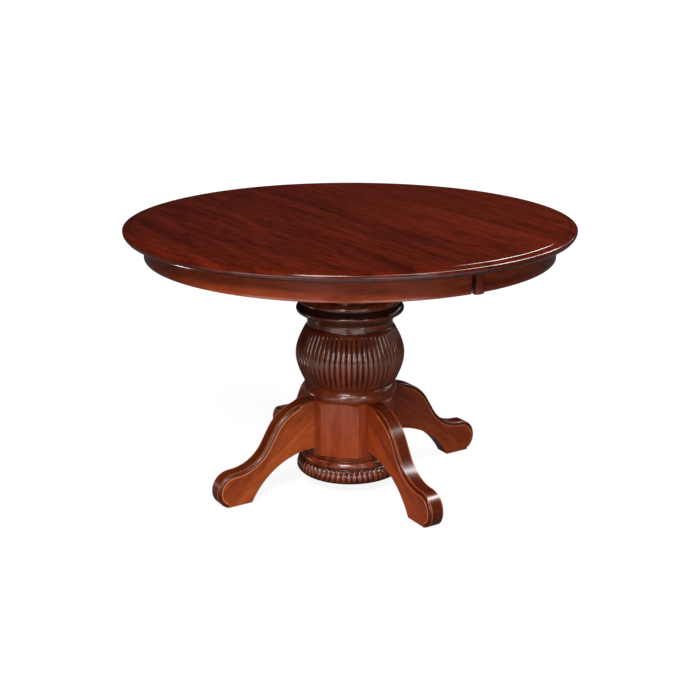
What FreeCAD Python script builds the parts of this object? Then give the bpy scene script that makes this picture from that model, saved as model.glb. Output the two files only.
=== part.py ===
import FreeCAD, Part
import math
import os

Vector = FreeCAD.Vector

# Round extension table on one pedestal. Sizes are in millimetres. Heights count up from the floor, X runs
# the way the halves of the top slide, Y runs along the seam between them, and the axis of the pedestal is Z.

# Top
TOP_HEIGHT = 752.0
TOP_RADIUS = 610.0
TOP_THICKNESS = 25.0
EDGE_WIDTH = 20.0           # moulded edge, seen from above
EDGE_BOW = 5.4              # swell of the moulded edge off its chord
EDGE_QUIRK = 3.5            # step between the flat top and the moulded edge
EDGE_FOOT = 6.0             # height of the small round under the edge
EDGE_FOOT_BOW = 1.7
SEAM_GAP = 0.3              # between the closed halves

# Apron and the blocks on it
APRON_SETBACK = 53.0        # rim of the top in to the apron
APRON_THICKNESS = 20.0
APRON_HEIGHT = 60.0
APRON_GAP = 9.0             # seam to the end of the left apron
SEAM_BLOCK_GAP = 0.5        # seam to the block on the right half
SEAM_BLOCK_WIDTH = 24.0
SEAM_BLOCK_PROUD = 6.0      # how far the block stands out of the apron
SEAM_BLOCK_DROP = 2.0       # how far it hangs below the apron
SEAM_BLOCK_DEPTH = 32.0
SEAM_BLOCK_ROUND = 2.0
GLUE_BLOCK_SIZE = 20.0
GLUE_BLOCK_TURN = 5.0       # degrees of the ring that one block takes up
GLUE_BLOCK_ANGLES = (-68.0, -40.0, 0.0, 40.0, 68.0)  # degrees from the middle of a half
GLUE_LINE = 0.1

# Dowels that line the halves up
PIN_RADIUS = 5.0
PIN_LENGTH = 37.0
PIN_REACH = 12.0            # what stands out of the left half
PIN_PLACES = (-440.0, -60.0, 60.0, 440.0)
PIN_CLEARANCE = 0.4
PRESS_FIT = 0.02

# Slides: a fixed centre rail with a moving rail on each side, and a gear between them
SLIDE_TRAVEL = 305.0        # each half, so that two leaves fit between
RUN_OFFSET = 150.0          # axis of the table to the middle of each centre rail
CENTRE_RAIL_LENGTH = 700.0
CENTRE_RAIL_WIDTH = 28.0
RAIL_DEPTH = 54.0           # underside of the top down to the mounting plate
RAIL_WIDTH = 30.0
RAIL_GAP = 1.0              # between the centre rail and a moving rail
RAIL_RIDE = 5.0             # moving rail above the mounting plate
RAIL_APRON_GAP = 18.0
RAIL_SPARE = 18.0           # rail left beyond the end of its rack
TOP_CLEARANCE = 2.0         # fixed wood below the underside of the top
TONGUE_RISE = 13.0          # tongue above the mounting plate
TONGUE_HEIGHT = 12.0
TONGUE_REACH = 8.0
TONGUE_CLEARANCE = 0.5
GEAR_MODULE = 2.5
PINION_TEETH = 14
PRESSURE_ANGLE = 20.0
TOOTH_RISE = 0.8            # tooth above the pitch line, in modules
TOOTH_FALL = 1.05           # tooth below the pitch line, in modules
GEAR_FACE = 10.0            # height of the teeth
GEAR_RISE = 33.0            # gear above the mounting plate
GEAR_BACKLASH = 0.4
GEAR_CLEARANCE = 0.5
RACK_BACK = 5.0             # solid strip behind the teeth
RACK_SPARE_TEETH = 2
AXLE_RADIUS = 4.0
AXLE_LENGTH = 30.0
RUNNING_FIT = 0.05

# Swivel locks under the top
LATCH_OFFSET = 330.0        # from the middle of the table along the seam
LATCH_SETBACK = 35.0        # pivot from the seam
LATCH_REACH = 60.0          # pivot to the keeper's stud
LATCH_PLATE = 3.0
LATCH_PLATE_SIZE = 44.0
LEVER_THICKNESS = 5.0
LEVER_WIDTH = 24.0
LEVER_TAIL = 80.0
LEVER_TAIL_WIDTH = 14.0
LEVER_PLAY = 0.3
STUD_RADIUS = 4.0
STUD_CLEARANCE = 0.5
STUD_END = 1.0              # stud below the lever
SLOT_TURN = 25.0            # degrees, mouth of the lever's slot
PIVOT_HEAD_RADIUS = 7.0
PIVOT_HEAD = 2.0

# Mounting plate and the post under it
PLATE_LENGTH = 520.0
PLATE_WIDTH = 420.0
PLATE_THICKNESS = 32.0
PLATE_CORNER = 30.0
POST_RADIUS = 112.0

# Turned column, from the floor up
BASE_CLEARANCE = 35.0       # floor to the base ring
GADROON_HEIGHT = 36.0
GADROON_RADIUS = 152.5
GADROON_DEPTH = 3.5
GADROONS = 60
GADROON_TIER = (            # shares of the height, of the radius and of the depth, from the bottom up
    (0.0, 0.965, 0.5),
    (0.25, 1.0, 1.0),
    (0.6, 0.985, 1.0),
    (1.0, 0.94, 0.4),
)
BASE_SHELF_HEIGHT = 5.0     # hollow shelf above the gadroons
BASE_SHELF_RADIUS = 140.0
BASE_SHELF_BOW = 1.2
BASE_BEAD_HEIGHT = 18.0     # half-round between the shelf and the neck
BASE_BEAD_BOW = 5.5
BASE_NECK_HEIGHT = 12.0
BASE_NECK_RADIUS = 129.0
BLOCK_HEIGHT = 157.5
BLOCK_INRADIUS = 127.0
BLOCK_CROWN_RADIUS = 126.0  # round top that the block's corners slope away from
BLOCK_CROWN_FALL = 8.0      # fall of that slope at the corners
CAVITY_INRADIUS = 55.0
CAVITY_CEILING = 36.0       # wood left above the cavity
COLLAR_HEIGHT = 32.5
COLLAR_RADIUS = 126.0
COLLAR_BOW = 4.5            # how far the ring swells out
COLLAR_FILLET = 3.0
COVE_HEIGHT = 9.0
COVE_RADIUS = 125.0
COVE_BOW = 1.1
REEDED_HEIGHT = 148.0
REED_FOOT_RADIUS = 131.5
REED_TOP_RADIUS = 126.0
BULB_RADIUS = 152.5
BULB_WIDEST = 71.0          # height of the widest place above the foot of the reeds
REEDS = 60
REED_DEPTH = 3.2
REED_END_DEPTH = 0.8        # where the reeds run out at the foot and the shoulder
REED_SECTIONS = 9
LOBE_SIDES = 4              # flat sides of one carved reed or gadroon
SHOULDER_HEIGHT = 13.0      # hollow between the reeds and the neck
SHOULDER_BOW = 1.6
NECK_HEIGHT = 11.5
NECK_RADIUS = 119.5
ROLL_RADIUS = 150.0
ROLL_UNDER = 31.0           # height of the roll below its widest place
ROLL_UNDER_BOW = 9.0
ROLL_OVER = 15.0            # height of the roll above its widest place
ROLL_OVER_BOW = 1.5
ROLL_TOP_RADIUS = 139.0
BEAD_HEIGHT = 20.0
BEAD_BOW = 5.0

# Rod, bolts and screws
ROD_RADIUS = 8.0
ROD_CLEARANCE = 1.0
ROD_END = 5.0               # thread beyond each nut
ROD_WASHER_RADIUS = 25.0
ROD_WASHER = 4.0
ROD_NUT_FLATS = 24.0
ROD_NUT = 13.0
LEG_BOLT_RADIUS = 4.0
LEG_BOLT_GRIP = 52.0        # thread inside the leg
LEG_BOLT_HEIGHTS = (45.0, 100.0)
LEG_BOLT_CLEARANCE = 0.5
LEG_NUT_FLATS = 13.0
LEG_NUT = 6.5
LEG_WASHER_RADIUS = 10.0
LEG_WASHER = 2.0
LEG_BOLT_END = 3.0
PLATE_BOLT_RADIUS = 5.0
PLATE_BOLT_GRIP_SHARE = 0.6       # share of the post that a bolt reaches into
PLATE_BOLT_CIRCLE = 80.0
PLATE_BOLT_TURN = 45.0      # degrees from X to the first bolt
PLATE_BOLT_FLATS = 17.0
PLATE_BOLT_HEAD = 6.0
SCREW_RADIUS = 2.5
SCREW_HEAD_RADIUS = 5.0
SCREW_HEAD = 3.0
SCREW_IN_TOP = 15.0
SCREW_IN_RAIL = 22.0
SCREW_IN_BLOCK = 25.0
SCREW_FIT = 0.05
SCREW_WOOD = 17.0           # rail left under a screw's head
RAIL_SCREW_SHARES = (0.873, 0.478, 0.125)  # of the way from the seam to the end of the rail
CENTRE_SCREW_PLACES = (-220.0, -80.0, 80.0, 220.0)
BASE_SCREW_CIRCLE = 100.0
BASE_SCREW_TURN = 22.5      # degrees from X to the first screw

# Legs
LEG_THICKNESS = 48.0
LEG_REACH = 431.0           # axis to the tip of the toe
LEG_TOP_DROP = 3.5          # top of the block down to the top of a leg
LEG_ROOT_DROP = 138.0       # top of the root to its underside
TOE_LENGTH = 119.0          # tip of the toe back to the corner of the hollow above it
WAIST_HEIGHT = 98.0         # corner of the hollow
SHOULDER_SHARE = 0.495      # of the way from the block to the hollow, corner of the shoulder
TOE_HEIGHT = 96.0           # corner above the toe
TOE_UNDER_HEIGHT = 15.0     # corner under the toe
TOE_OVERHANG = 26.0         # tip of the toe back to the front of the foot
FOOT_LENGTH = 75.0
ARCH_SETBACK = 49.0         # corner of the hollow back to the corner of the arch
SHOULDER_ROUND_SHARE = 0.86       # shares of the shorter edge beside a corner that its rounding takes up
WAIST_ROUND_SHARE = 0.55
TOE_ROUND_SHARE = 0.62
TOE_UNDER_ROUND_SHARE = 0.98
ARCH_ROUND_SHARE = 0.95
MOULD_DEPTH = 10.0          # rebate along the upper edges of a leg
MOULD_WIDTH = 6.0
MOULD_STOP = 36.0           # where it ends, from the block
GLIDE_RADIUS = 12.0
GLIDE_THICKNESS = 3.0

# Heights and distances that follow from the sizes above
UNDERSIDE = TOP_HEIGHT - TOP_THICKNESS
APRON_BOTTOM = UNDERSIDE - APRON_HEIGHT
APRON_RADIUS = TOP_RADIUS - APRON_SETBACK
APRON_INSIDE = APRON_RADIUS - APRON_THICKNESS
PLATE_TOP = UNDERSIDE - RAIL_DEPTH
PLATE_BOTTOM = PLATE_TOP - PLATE_THICKNESS
GADROON_TOP = BASE_CLEARANCE + GADROON_HEIGHT
BASE_SHELF_TOP = GADROON_TOP + BASE_SHELF_HEIGHT
BASE_BEAD_TOP = BASE_SHELF_TOP + BASE_BEAD_HEIGHT
BLOCK_BOTTOM = BASE_BEAD_TOP + BASE_NECK_HEIGHT
BLOCK_TOP = BLOCK_BOTTOM + BLOCK_HEIGHT
CAVITY_TOP = BLOCK_TOP - CAVITY_CEILING
COLLAR_TOP = BLOCK_TOP + COLLAR_HEIGHT
REEDS_BOTTOM = COLLAR_TOP + COVE_HEIGHT
REEDS_TOP = REEDS_BOTTOM + REEDED_HEIGHT
NECK_BOTTOM = REEDS_TOP + SHOULDER_HEIGHT
NECK_TOP = NECK_BOTTOM + NECK_HEIGHT
ROLL_WIDEST = NECK_TOP + ROLL_UNDER
ROLL_TOP = ROLL_WIDEST + ROLL_OVER
CAP_TOP = ROLL_TOP + BEAD_HEIGHT
ROD_HOLE = ROD_RADIUS + ROD_CLEARANCE
GEAR_PITCH = math.pi * GEAR_MODULE
PITCH_RADIUS = GEAR_MODULE * PINION_TEETH / 2
ADDENDUM = TOOTH_RISE * GEAR_MODULE
DEDENDUM = TOOTH_FALL * GEAR_MODULE
GEAR_BOTTOM = PLATE_TOP + GEAR_RISE
RACK_TEETH = math.ceil(SLIDE_TRAVEL / GEAR_PITCH) + 2 * RACK_SPARE_TEETH
RACK_START = -RACK_SPARE_TEETH * GEAR_PITCH
RACK_END = RACK_START + RACK_TEETH * GEAR_PITCH
RAIL_FACE = RUN_OFFSET + CENTRE_RAIL_WIDTH / 2 + RAIL_GAP
RAIL_OUTSIDE = RAIL_FACE + RAIL_WIDTH
RAIL_BOTTOM = PLATE_TOP + RAIL_RIDE
RAIL_REACH = math.sqrt((APRON_INSIDE - RAIL_APRON_GAP) ** 2 - RAIL_OUTSIDE ** 2)
RACK_LINE = RUN_OFFSET + PITCH_RADIUS
RACK_BACK_FACE = RACK_LINE + DEDENDUM + RACK_BACK
SCREW_LINE = (RACK_BACK_FACE + RAIL_OUTSIDE) / 2
LEVER_TOP = UNDERSIDE - LATCH_PLATE - LEVER_PLAY
LEVER_BOTTOM = LEVER_TOP - LEVER_THICKNESS
LEG_TOP = BLOCK_TOP - LEG_TOP_DROP
LEG_UNDERSIDE = LEG_TOP - LEG_ROOT_DROP
WAIST_OUT = LEG_REACH - TOE_LENGTH
SHOULDER_OUT = BLOCK_INRADIUS + SHOULDER_SHARE * (WAIST_OUT - BLOCK_INRADIUS)
ARCH_OUT = WAIST_OUT - ARCH_SETBACK
FOOT_FRONT = LEG_REACH - TOE_OVERHANG
FOOT_HEEL = FOOT_FRONT - FOOT_LENGTH

UP = Vector(0, 0, 1)
AXIS = Vector(0, 0, 0)
HUGE = 4 * TOP_RADIUS


# Drawing helpers

def bowed_face(corners):
    """Face in the X-Z plane. A corner's third number bows the edge that leads to it, to its left."""
    edges = []
    for start, end in zip(corners[-1:] + corners[:-1], corners):
        begin = Vector(start[0], 0, start[1])
        finish = Vector(end[0], 0, end[1])
        if len(end) == 2:
            edges.append(Part.LineSegment(begin, finish).toShape())
            continue
        chord = finish - begin
        left = Vector(-chord.z, 0, chord.x).normalize()
        middle = (begin + finish) * 0.5 + left * end[2]
        edges.append(Part.Arc(begin, middle, finish).toShape())
    return Part.Face(Part.Wire(edges))


def rounded_face(corners):
    """Face in the X-Z plane. A corner's third number is the radius that rounds it."""
    points = [Vector(corner[0], 0, corner[1]) for corner in corners]
    stations = []
    for index, corner in enumerate(corners):
        here = points[index]
        if len(corner) == 2:
            stations.append((here, here, here))
            continue
        back = (points[index - 1] - here).normalize()
        ahead = (points[(index + 1) % len(points)] - here).normalize()
        half_angle = back.getAngle(ahead) / 2
        tangent = corner[2] / math.tan(half_angle)
        crown = (back + ahead).normalize() * (corner[2] / math.sin(half_angle) - corner[2])
        stations.append((here + back * tangent, here + crown, here + ahead * tangent))
    edges = []
    for before, station in zip(stations[-1:] + stations[:-1], stations):
        edges.append(Part.LineSegment(before[2], station[0]).toShape())
        if station[0] != station[2]:
            edges.append(Part.Arc(*station).toShape())
    return Part.Face(Part.Wire(edges))


def turned(corners):
    return bowed_face(corners).revolve(AXIS, UP, 360)


def block(low, high):
    return Part.makeBox(high[0] - low[0], high[1] - low[1], high[2] - low[2], Vector(*low))


def rod(radius, bottom, top, x=0.0, y=0.0):
    return Part.makeCylinder(radius, top - bottom, Vector(x, y, bottom))


def prism(sides, flats, bottom, top):
    """Upright prism with a flat side facing X, measured across its flats."""
    reach = flats / 2 / math.cos(math.pi / sides)
    corners = [(2 * index + 1) * math.pi / sides for index in range(sides + 1)]
    points = [Vector(reach * math.cos(turn), reach * math.sin(turn), bottom) for turn in corners]
    return Part.Face(Part.makePolygon(points)).extrude(UP * (top - bottom))


def turn_about(shape, degrees):
    return shape.rotated(AXIS, UP, degrees)


def four_ways(shapes):
    """The same shapes on all four sides of the axis."""
    return Part.makeCompound([turn_about(shape, 90 * quarter) for quarter in range(4) for shape in shapes])


def lying(shape, out, height):
    """Lay an upright fastener made on the axis along X, with its foot at the given place."""
    return shape.rotated(AXIS, Vector(0, 1, 0), 90).translated(Vector(out, 0, height))


def front_and_rear(shape):
    """A piece of the rear run and its mirror image at the front."""
    return [shape.mirror(AXIS, Vector(0, 1, 0)), shape]


def other_side(shape):
    """Turn a piece of the rear run half round its gear, from the left half's side to the right half's."""
    return shape.rotated(Vector(0, RUN_OFFSET, 0), UP, 180)


def half_space(side, gap):
    """Everything on one side of the seam, half a gap away from it: -1 is left and 1 is right."""
    box = block((gap / 2, -HUGE, -HUGE), (HUGE, HUGE, HUGE))
    return box if side > 0 else box.mirror(AXIS, Vector(1, 0, 0))


def scalloped_wire(height, crest, depth, count):
    """Closed ring of lobes that stand out from a circle, each with a few flat sides."""
    points = []
    for side in range(count * LOBE_SIDES):
        turn = 2 * math.pi * side / (count * LOBE_SIDES)
        rise = math.sin(math.pi * (side % LOBE_SIDES) / LOBE_SIDES)
        radius = crest - depth + depth * rise
        points.append(Vector(radius * math.cos(turn), radius * math.sin(turn), height))
    return Part.makePolygon(points + points[:1])


# Top and apron

def whole_top():
    flat = TOP_RADIUS - EDGE_WIDTH
    shoulder = TOP_HEIGHT - EDGE_QUIRK
    belly = UNDERSIDE + EDGE_FOOT
    return turned([
        (0, UNDERSIDE),
        (TOP_RADIUS - EDGE_FOOT, UNDERSIDE),
        (TOP_RADIUS, belly, -EDGE_FOOT_BOW),
        (flat, shoulder, -EDGE_BOW),
        (flat, TOP_HEIGHT),
        (0, TOP_HEIGHT),
    ])


def pins():
    start = PIN_REACH - PIN_LENGTH
    middle = TOP_HEIGHT - TOP_THICKNESS / 2
    pieces = []
    for place in PIN_PLACES:
        pin = Part.makeCylinder(PIN_RADIUS, PIN_LENGTH, Vector(start, place, middle), Vector(1, 0, 0))
        nose = max(pin.Edges, key=lambda edge: edge.BoundBox.XMin)
        pieces.append(pin.makeFillet(PIN_RADIUS / 2, [nose]))
    return Part.makeCompound(pieces)


def pin_bores(clearance, reach):
    middle = TOP_HEIGHT - TOP_THICKNESS / 2
    radius = PIN_RADIUS + clearance
    bores = [
        Part.makeCylinder(radius, 2 * reach, Vector(-reach, place, middle), Vector(1, 0, 0))
        for place in PIN_PLACES
    ]
    return Part.makeCompound(bores)


def top_half(side):
    """One half of the top, with bores for its dowels and for the screws of its rails."""
    top = whole_top().common(half_space(side, SEAM_GAP))
    screws = rail_screws_rear(SCREW_FIT)
    if side < 0:
        bores = pin_bores(PRESS_FIT, PIN_LENGTH - PIN_REACH)
    else:
        bores = pin_bores(PIN_CLEARANCE, PIN_REACH + PIN_CLEARANCE)
        screws = other_side(screws)
    return top.cut([bores] + front_and_rear(screws))


def apron_half(side):
    ring = rod(APRON_RADIUS, APRON_BOTTOM, UNDERSIDE).cut(rod(APRON_INSIDE, APRON_BOTTOM, UNDERSIDE))
    if side < 0:
        return ring.common(half_space(side, 2 * APRON_GAP))
    return ring.common(half_space(side, 2 * (SEAM_BLOCK_GAP + SEAM_BLOCK_WIDTH)))


def seam_block_rear():
    """Upright block on the end of the right apron, beside the seam."""
    outside = APRON_RADIUS + SEAM_BLOCK_PROUD
    low = (SEAM_BLOCK_GAP, outside - SEAM_BLOCK_DEPTH, APRON_BOTTOM - SEAM_BLOCK_DROP)
    high = (SEAM_BLOCK_GAP + SEAM_BLOCK_WIDTH, outside, UNDERSIDE)
    body = block(low, high)
    outer_face = max(body.Faces, key=lambda face: face.CenterOfMass.y)
    corners = [edge for edge in outer_face.Edges if edge.BoundBox.ZLength > SEAM_BLOCK_WIDTH]
    return body.makeFillet(SEAM_BLOCK_ROUND, corners)


def glue_blocks(side):
    """Three-cornered blocks that hold the apron to the underside of the top."""
    outer = APRON_INSIDE - GLUE_LINE
    section = bowed_face([
        (outer, UNDERSIDE),
        (outer - GLUE_BLOCK_SIZE, UNDERSIDE),
        (outer, UNDERSIDE - GLUE_BLOCK_SIZE),
    ])
    piece = section.revolve(AXIS, UP, GLUE_BLOCK_TURN)
    middle = 180.0 if side < 0 else 0.0
    turns = [middle + angle - GLUE_BLOCK_TURN / 2 for angle in GLUE_BLOCK_ANGLES]
    return Part.makeCompound([turn_about(piece, turn) for turn in turns])


# Slides

def centre_rail_rear():
    half = CENTRE_RAIL_LENGTH / 2
    side = CENTRE_RAIL_WIDTH / 2
    tongue = side + TONGUE_REACH
    tongue_bottom = PLATE_TOP + TONGUE_RISE
    rail_top = UNDERSIDE - TOP_CLEARANCE
    rail = block((-half, RUN_OFFSET - side, PLATE_TOP), (half, RUN_OFFSET + side, rail_top))
    rail = rail.fuse(block(
        (-half, RUN_OFFSET - tongue, tongue_bottom),
        (half, RUN_OFFSET + tongue, tongue_bottom + TONGUE_HEIGHT),
    )).removeSplitter()
    room = PITCH_RADIUS + ADDENDUM + GEAR_CLEARANCE
    slot = block(
        (-room, RUN_OFFSET - side, GEAR_BOTTOM - GEAR_CLEARANCE),
        (room, RUN_OFFSET + side, GEAR_BOTTOM + GEAR_FACE + GEAR_CLEARANCE),
    )
    rail = rail.cut(slot).cut(axle_rear(PRESS_FIT))
    return rail.cut(centre_screws_rear(SCREW_FIT))


def axle_rear(clearance=0.0):
    top = UNDERSIDE - TOP_CLEARANCE
    return rod(AXLE_RADIUS + clearance, top - AXLE_LENGTH, top, 0, RUN_OFFSET)


def moving_rail_rear():
    """Outer rail of the rear run, screwed under the left half, with a groove and a seat for its rack."""
    inner_end = RACK_END + RAIL_SPARE
    rail = block((-RAIL_REACH, RAIL_FACE, RAIL_BOTTOM), (inner_end, RAIL_OUTSIDE, UNDERSIDE))
    tongue_bottom = PLATE_TOP + TONGUE_RISE
    groove_back = RUN_OFFSET + CENTRE_RAIL_WIDTH / 2 + TONGUE_REACH + TONGUE_CLEARANCE
    rail = rail.cut(block(
        (-RAIL_REACH, RAIL_FACE, tongue_bottom - TONGUE_CLEARANCE),
        (inner_end, groove_back, tongue_bottom + TONGUE_HEIGHT + TONGUE_CLEARANCE),
    ))
    rail = rail.cut(block(
        (RACK_START, RAIL_FACE, GEAR_BOTTOM),
        (RACK_END, RACK_BACK_FACE, GEAR_BOTTOM + GEAR_FACE),
    ))
    rail = rail.cut(block((0, RAIL_FACE, UNDERSIDE - TOP_CLEARANCE), (inner_end, RAIL_OUTSIDE, UNDERSIDE)))
    return rail.cut(rail_screws_rear(SCREW_FIT, RAIL_DEPTH))


def rack_rear():
    """Straight rack whose tooth spaces line up with the gear's teeth when the table is closed."""
    slope = math.tan(math.radians(PRESSURE_ANGLE))
    half_tooth = GEAR_PITCH / 4 - GEAR_BACKLASH / 4
    tip = RACK_LINE - ADDENDUM
    root = RACK_LINE + DEDENDUM
    points = [Vector(RACK_START, RACK_BACK_FACE, GEAR_BOTTOM), Vector(RACK_START, root, GEAR_BOTTOM)]
    for tooth in range(RACK_TEETH):
        middle = RACK_START + (tooth + 0.5) * GEAR_PITCH
        wide = half_tooth + DEDENDUM * slope
        narrow = half_tooth - ADDENDUM * slope
        for along, out in ((-wide, root), (-narrow, tip), (narrow, tip), (wide, root)):
            points.append(Vector(middle + along, out, GEAR_BOTTOM))
    points.append(Vector(RACK_END, root, GEAR_BOTTOM))
    points.append(Vector(RACK_END, RACK_BACK_FACE, GEAR_BOTTOM))
    return Part.Face(Part.makePolygon(points + points[:1])).extrude(UP * GEAR_FACE)


def involute(angle):
    return math.tan(angle) - angle


def pinion_rear():
    """Gear with involute teeth, one of them pointing straight at each rack."""
    pressure = math.radians(PRESSURE_ANGLE)
    base = PITCH_RADIUS * math.cos(pressure)
    half_tooth = math.pi / (2 * PINION_TEETH) - GEAR_BACKLASH / (4 * PITCH_RADIUS)
    tip = PITCH_RADIUS + ADDENDUM
    flank = [(PITCH_RADIUS - DEDENDUM, half_tooth + involute(pressure))]
    for radius in (base, PITCH_RADIUS, tip):
        flank.append((radius, half_tooth + involute(pressure) - involute(math.acos(base / radius))))
    points = []
    for tooth in range(PINION_TEETH):
        middle = math.pi / 2 + tooth * 2 * math.pi / PINION_TEETH
        outline = [(r, middle - turn) for r, turn in flank] + [(r, middle + turn) for r, turn in flank[::-1]]
        for radius, turn in outline:
            points.append(Vector(radius * math.cos(turn), RUN_OFFSET + radius * math.sin(turn), GEAR_BOTTOM))
    gear = Part.Face(Part.makePolygon(points + points[:1])).extrude(UP * GEAR_FACE)
    return gear.cut(rod(AXLE_RADIUS + RUNNING_FIT, GEAR_BOTTOM, GEAR_BOTTOM + GEAR_FACE, 0, RUN_OFFSET))


def screw(x, y, head_at, tip_at, fit, countersink=0.0):
    """Upright screw driven from below. A cutter for it has a fit, and a counterbore under the head."""
    shank = rod(SCREW_RADIUS + fit, head_at, tip_at + fit, x, y)
    head = rod(SCREW_HEAD_RADIUS + fit, head_at - SCREW_HEAD - countersink, head_at, x, y)
    return shank.fuse(head)


def rail_screws_rear(fit=0.0, counterbore=0.0):
    head_at = UNDERSIDE - SCREW_WOOD
    tip_at = UNDERSIDE + SCREW_IN_TOP
    return Part.makeCompound([
        screw(-share * RAIL_REACH, SCREW_LINE, head_at, tip_at, fit, counterbore)
        for share in RAIL_SCREW_SHARES
    ])


def centre_screws_rear(fit=0.0):
    tip_at = PLATE_TOP + SCREW_IN_RAIL
    return Part.makeCompound([
        screw(place, RUN_OFFSET, PLATE_BOTTOM, tip_at, fit) for place in CENTRE_SCREW_PLACES
    ])


# Swivel locks. Each is drawn for the front of the table, and its mirror image goes to the rear.

def latch_plate():
    half = LATCH_PLATE_SIZE / 2
    low = (-LATCH_SETBACK - half, -LATCH_OFFSET - half, UNDERSIDE - LATCH_PLATE)
    high = (-SEAM_GAP, -LATCH_OFFSET + half, UNDERSIDE)
    hole = rod(STUD_RADIUS + PRESS_FIT, UNDERSIDE - LATCH_PLATE, UNDERSIDE, -LATCH_SETBACK, -LATCH_OFFSET)
    return block(low, high).cut(hole)


def latch_pivot():
    head_top = LEVER_BOTTOM - LEVER_PLAY
    pin = rod(STUD_RADIUS, head_top, UNDERSIDE, -LATCH_SETBACK, -LATCH_OFFSET)
    return pin.fuse(rod(PIVOT_HEAD_RADIUS, head_top - PIVOT_HEAD, head_top, -LATCH_SETBACK, -LATCH_OFFSET))


def latch_keeper():
    half = LATCH_PLATE_SIZE / 2
    stud_at = LATCH_REACH - LATCH_SETBACK
    low = (SEAM_GAP, -LATCH_OFFSET - half, UNDERSIDE - LATCH_PLATE)
    high = (stud_at + half, -LATCH_OFFSET + half, UNDERSIDE)
    stud = rod(STUD_RADIUS, LEVER_BOTTOM - STUD_END, UNDERSIDE - LATCH_PLATE, stud_at, -LATCH_OFFSET)
    return block(low, high).fuse(stud)


def latch_lever():
    """Flat hook with a finger tail, drawn locked and turned back to its open place beside the seam."""
    half = LEVER_WIDTH / 2
    tail = LEVER_TAIL_WIDTH / 2
    lever = block((0, -half, LEVER_BOTTOM), (LATCH_REACH + half, half, LEVER_TOP))
    lever = lever.fuse(rod(half, LEVER_BOTTOM, LEVER_TOP))
    lever = lever.fuse(block((-LEVER_TAIL, -tail, LEVER_BOTTOM), (0, tail, LEVER_TOP)))
    lever = lever.fuse(rod(tail, LEVER_BOTTOM, LEVER_TOP, -LEVER_TAIL))
    slot = STUD_RADIUS + STUD_CLEARANCE
    foot = Vector(0, 0, LEVER_BOTTOM)
    sector = Part.makeCylinder(LATCH_REACH + slot, LEVER_THICKNESS, foot, UP, SLOT_TURN)
    sector = sector.cut(rod(LATCH_REACH - slot, LEVER_BOTTOM, LEVER_TOP))
    lever = lever.cut(sector).cut(rod(slot, LEVER_BOTTOM, LEVER_TOP, LATCH_REACH))
    lever = lever.cut(rod(STUD_RADIUS + RUNNING_FIT, LEVER_BOTTOM, LEVER_TOP)).removeSplitter()
    return turn_about(lever, -90).translated(Vector(-LATCH_SETBACK, -LATCH_OFFSET, 0))


# Mounting plate and column

def mounting_plate():
    low = (-PLATE_LENGTH / 2, -PLATE_WIDTH / 2, PLATE_BOTTOM)
    high = (PLATE_LENGTH / 2, PLATE_WIDTH / 2, PLATE_TOP)
    plate = block(low, high)
    uprights = [edge for edge in plate.Edges if edge.BoundBox.ZLength > PLATE_THICKNESS / 2]
    plate = plate.makeFillet(PLATE_CORNER, uprights)
    plate = plate.cut(rod(ROD_HOLE, PLATE_BOTTOM, PLATE_TOP))
    plate = plate.cut(plate_bolts(SCREW_FIT))
    return plate.cut(Part.makeCompound(front_and_rear(centre_screws_rear(SCREW_FIT))))


def plate_bolts(fit=0.0):
    tip = PLATE_BOTTOM - PLATE_BOLT_GRIP_SHARE * (PLATE_BOTTOM - CAP_TOP) - fit
    shank = rod(PLATE_BOLT_RADIUS + fit, tip, PLATE_TOP)
    bolt = shank.fuse(prism(6, PLATE_BOLT_FLATS, PLATE_TOP, PLATE_TOP + PLATE_BOLT_HEAD))
    bolt = bolt.translated(Vector(PLATE_BOLT_CIRCLE, 0, 0))
    return four_ways([turn_about(bolt, PLATE_BOLT_TURN)])


def upper_column():
    post = rod(POST_RADIUS, CAP_TOP, PLATE_BOTTOM).cut(rod(ROD_HOLE, CAP_TOP, PLATE_BOTTOM))
    return post.cut(plate_bolts(SCREW_FIT))


def column_cap():
    return turned([
        (ROD_HOLE, NECK_TOP),
        (NECK_RADIUS, NECK_TOP),
        (ROLL_RADIUS, ROLL_WIDEST, -ROLL_UNDER_BOW),
        (ROLL_TOP_RADIUS, ROLL_TOP, -ROLL_OVER_BOW),
        (ROLL_TOP_RADIUS - BEAD_BOW, CAP_TOP, -BEAD_BOW),
        (ROD_HOLE, CAP_TOP),
    ])


def reeded_bulb():
    """Bulb whose reeds swell from its foot to its widest place and draw in again to the neck."""
    sections = []
    for index in range(REED_SECTIONS):
        share = index / (REED_SECTIONS - 1)
        height = share * REEDED_HEIGHT
        if height < BULB_WIDEST:
            swell = math.cos(math.pi / 2 * (BULB_WIDEST - height) / BULB_WIDEST)
            crest = REED_FOOT_RADIUS + (BULB_RADIUS - REED_FOOT_RADIUS) * swell
        else:
            swell = math.cos(math.pi / 2 * (height - BULB_WIDEST) / (REEDED_HEIGHT - BULB_WIDEST))
            crest = REED_TOP_RADIUS + (BULB_RADIUS - REED_TOP_RADIUS) * swell
        depth = REED_DEPTH if 0 < index < REED_SECTIONS - 1 else REED_END_DEPTH
        sections.append(scalloped_wire(REEDS_BOTTOM + height, crest, depth, REEDS))
    reeded = Part.makeLoft(sections, True, True)
    foot = turned([
        (0, COLLAR_TOP),
        (COVE_RADIUS, COLLAR_TOP),
        (REED_FOOT_RADIUS, REEDS_BOTTOM, COVE_BOW),
        (0, REEDS_BOTTOM),
    ])
    neck = turned([
        (0, REEDS_TOP),
        (REED_TOP_RADIUS, REEDS_TOP),
        (NECK_RADIUS, NECK_BOTTOM, SHOULDER_BOW),
        (NECK_RADIUS, NECK_TOP),
        (0, NECK_TOP),
    ])
    return reeded.fuse([foot, neck]).cut(rod(ROD_HOLE, COLLAR_TOP, NECK_TOP))


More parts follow.
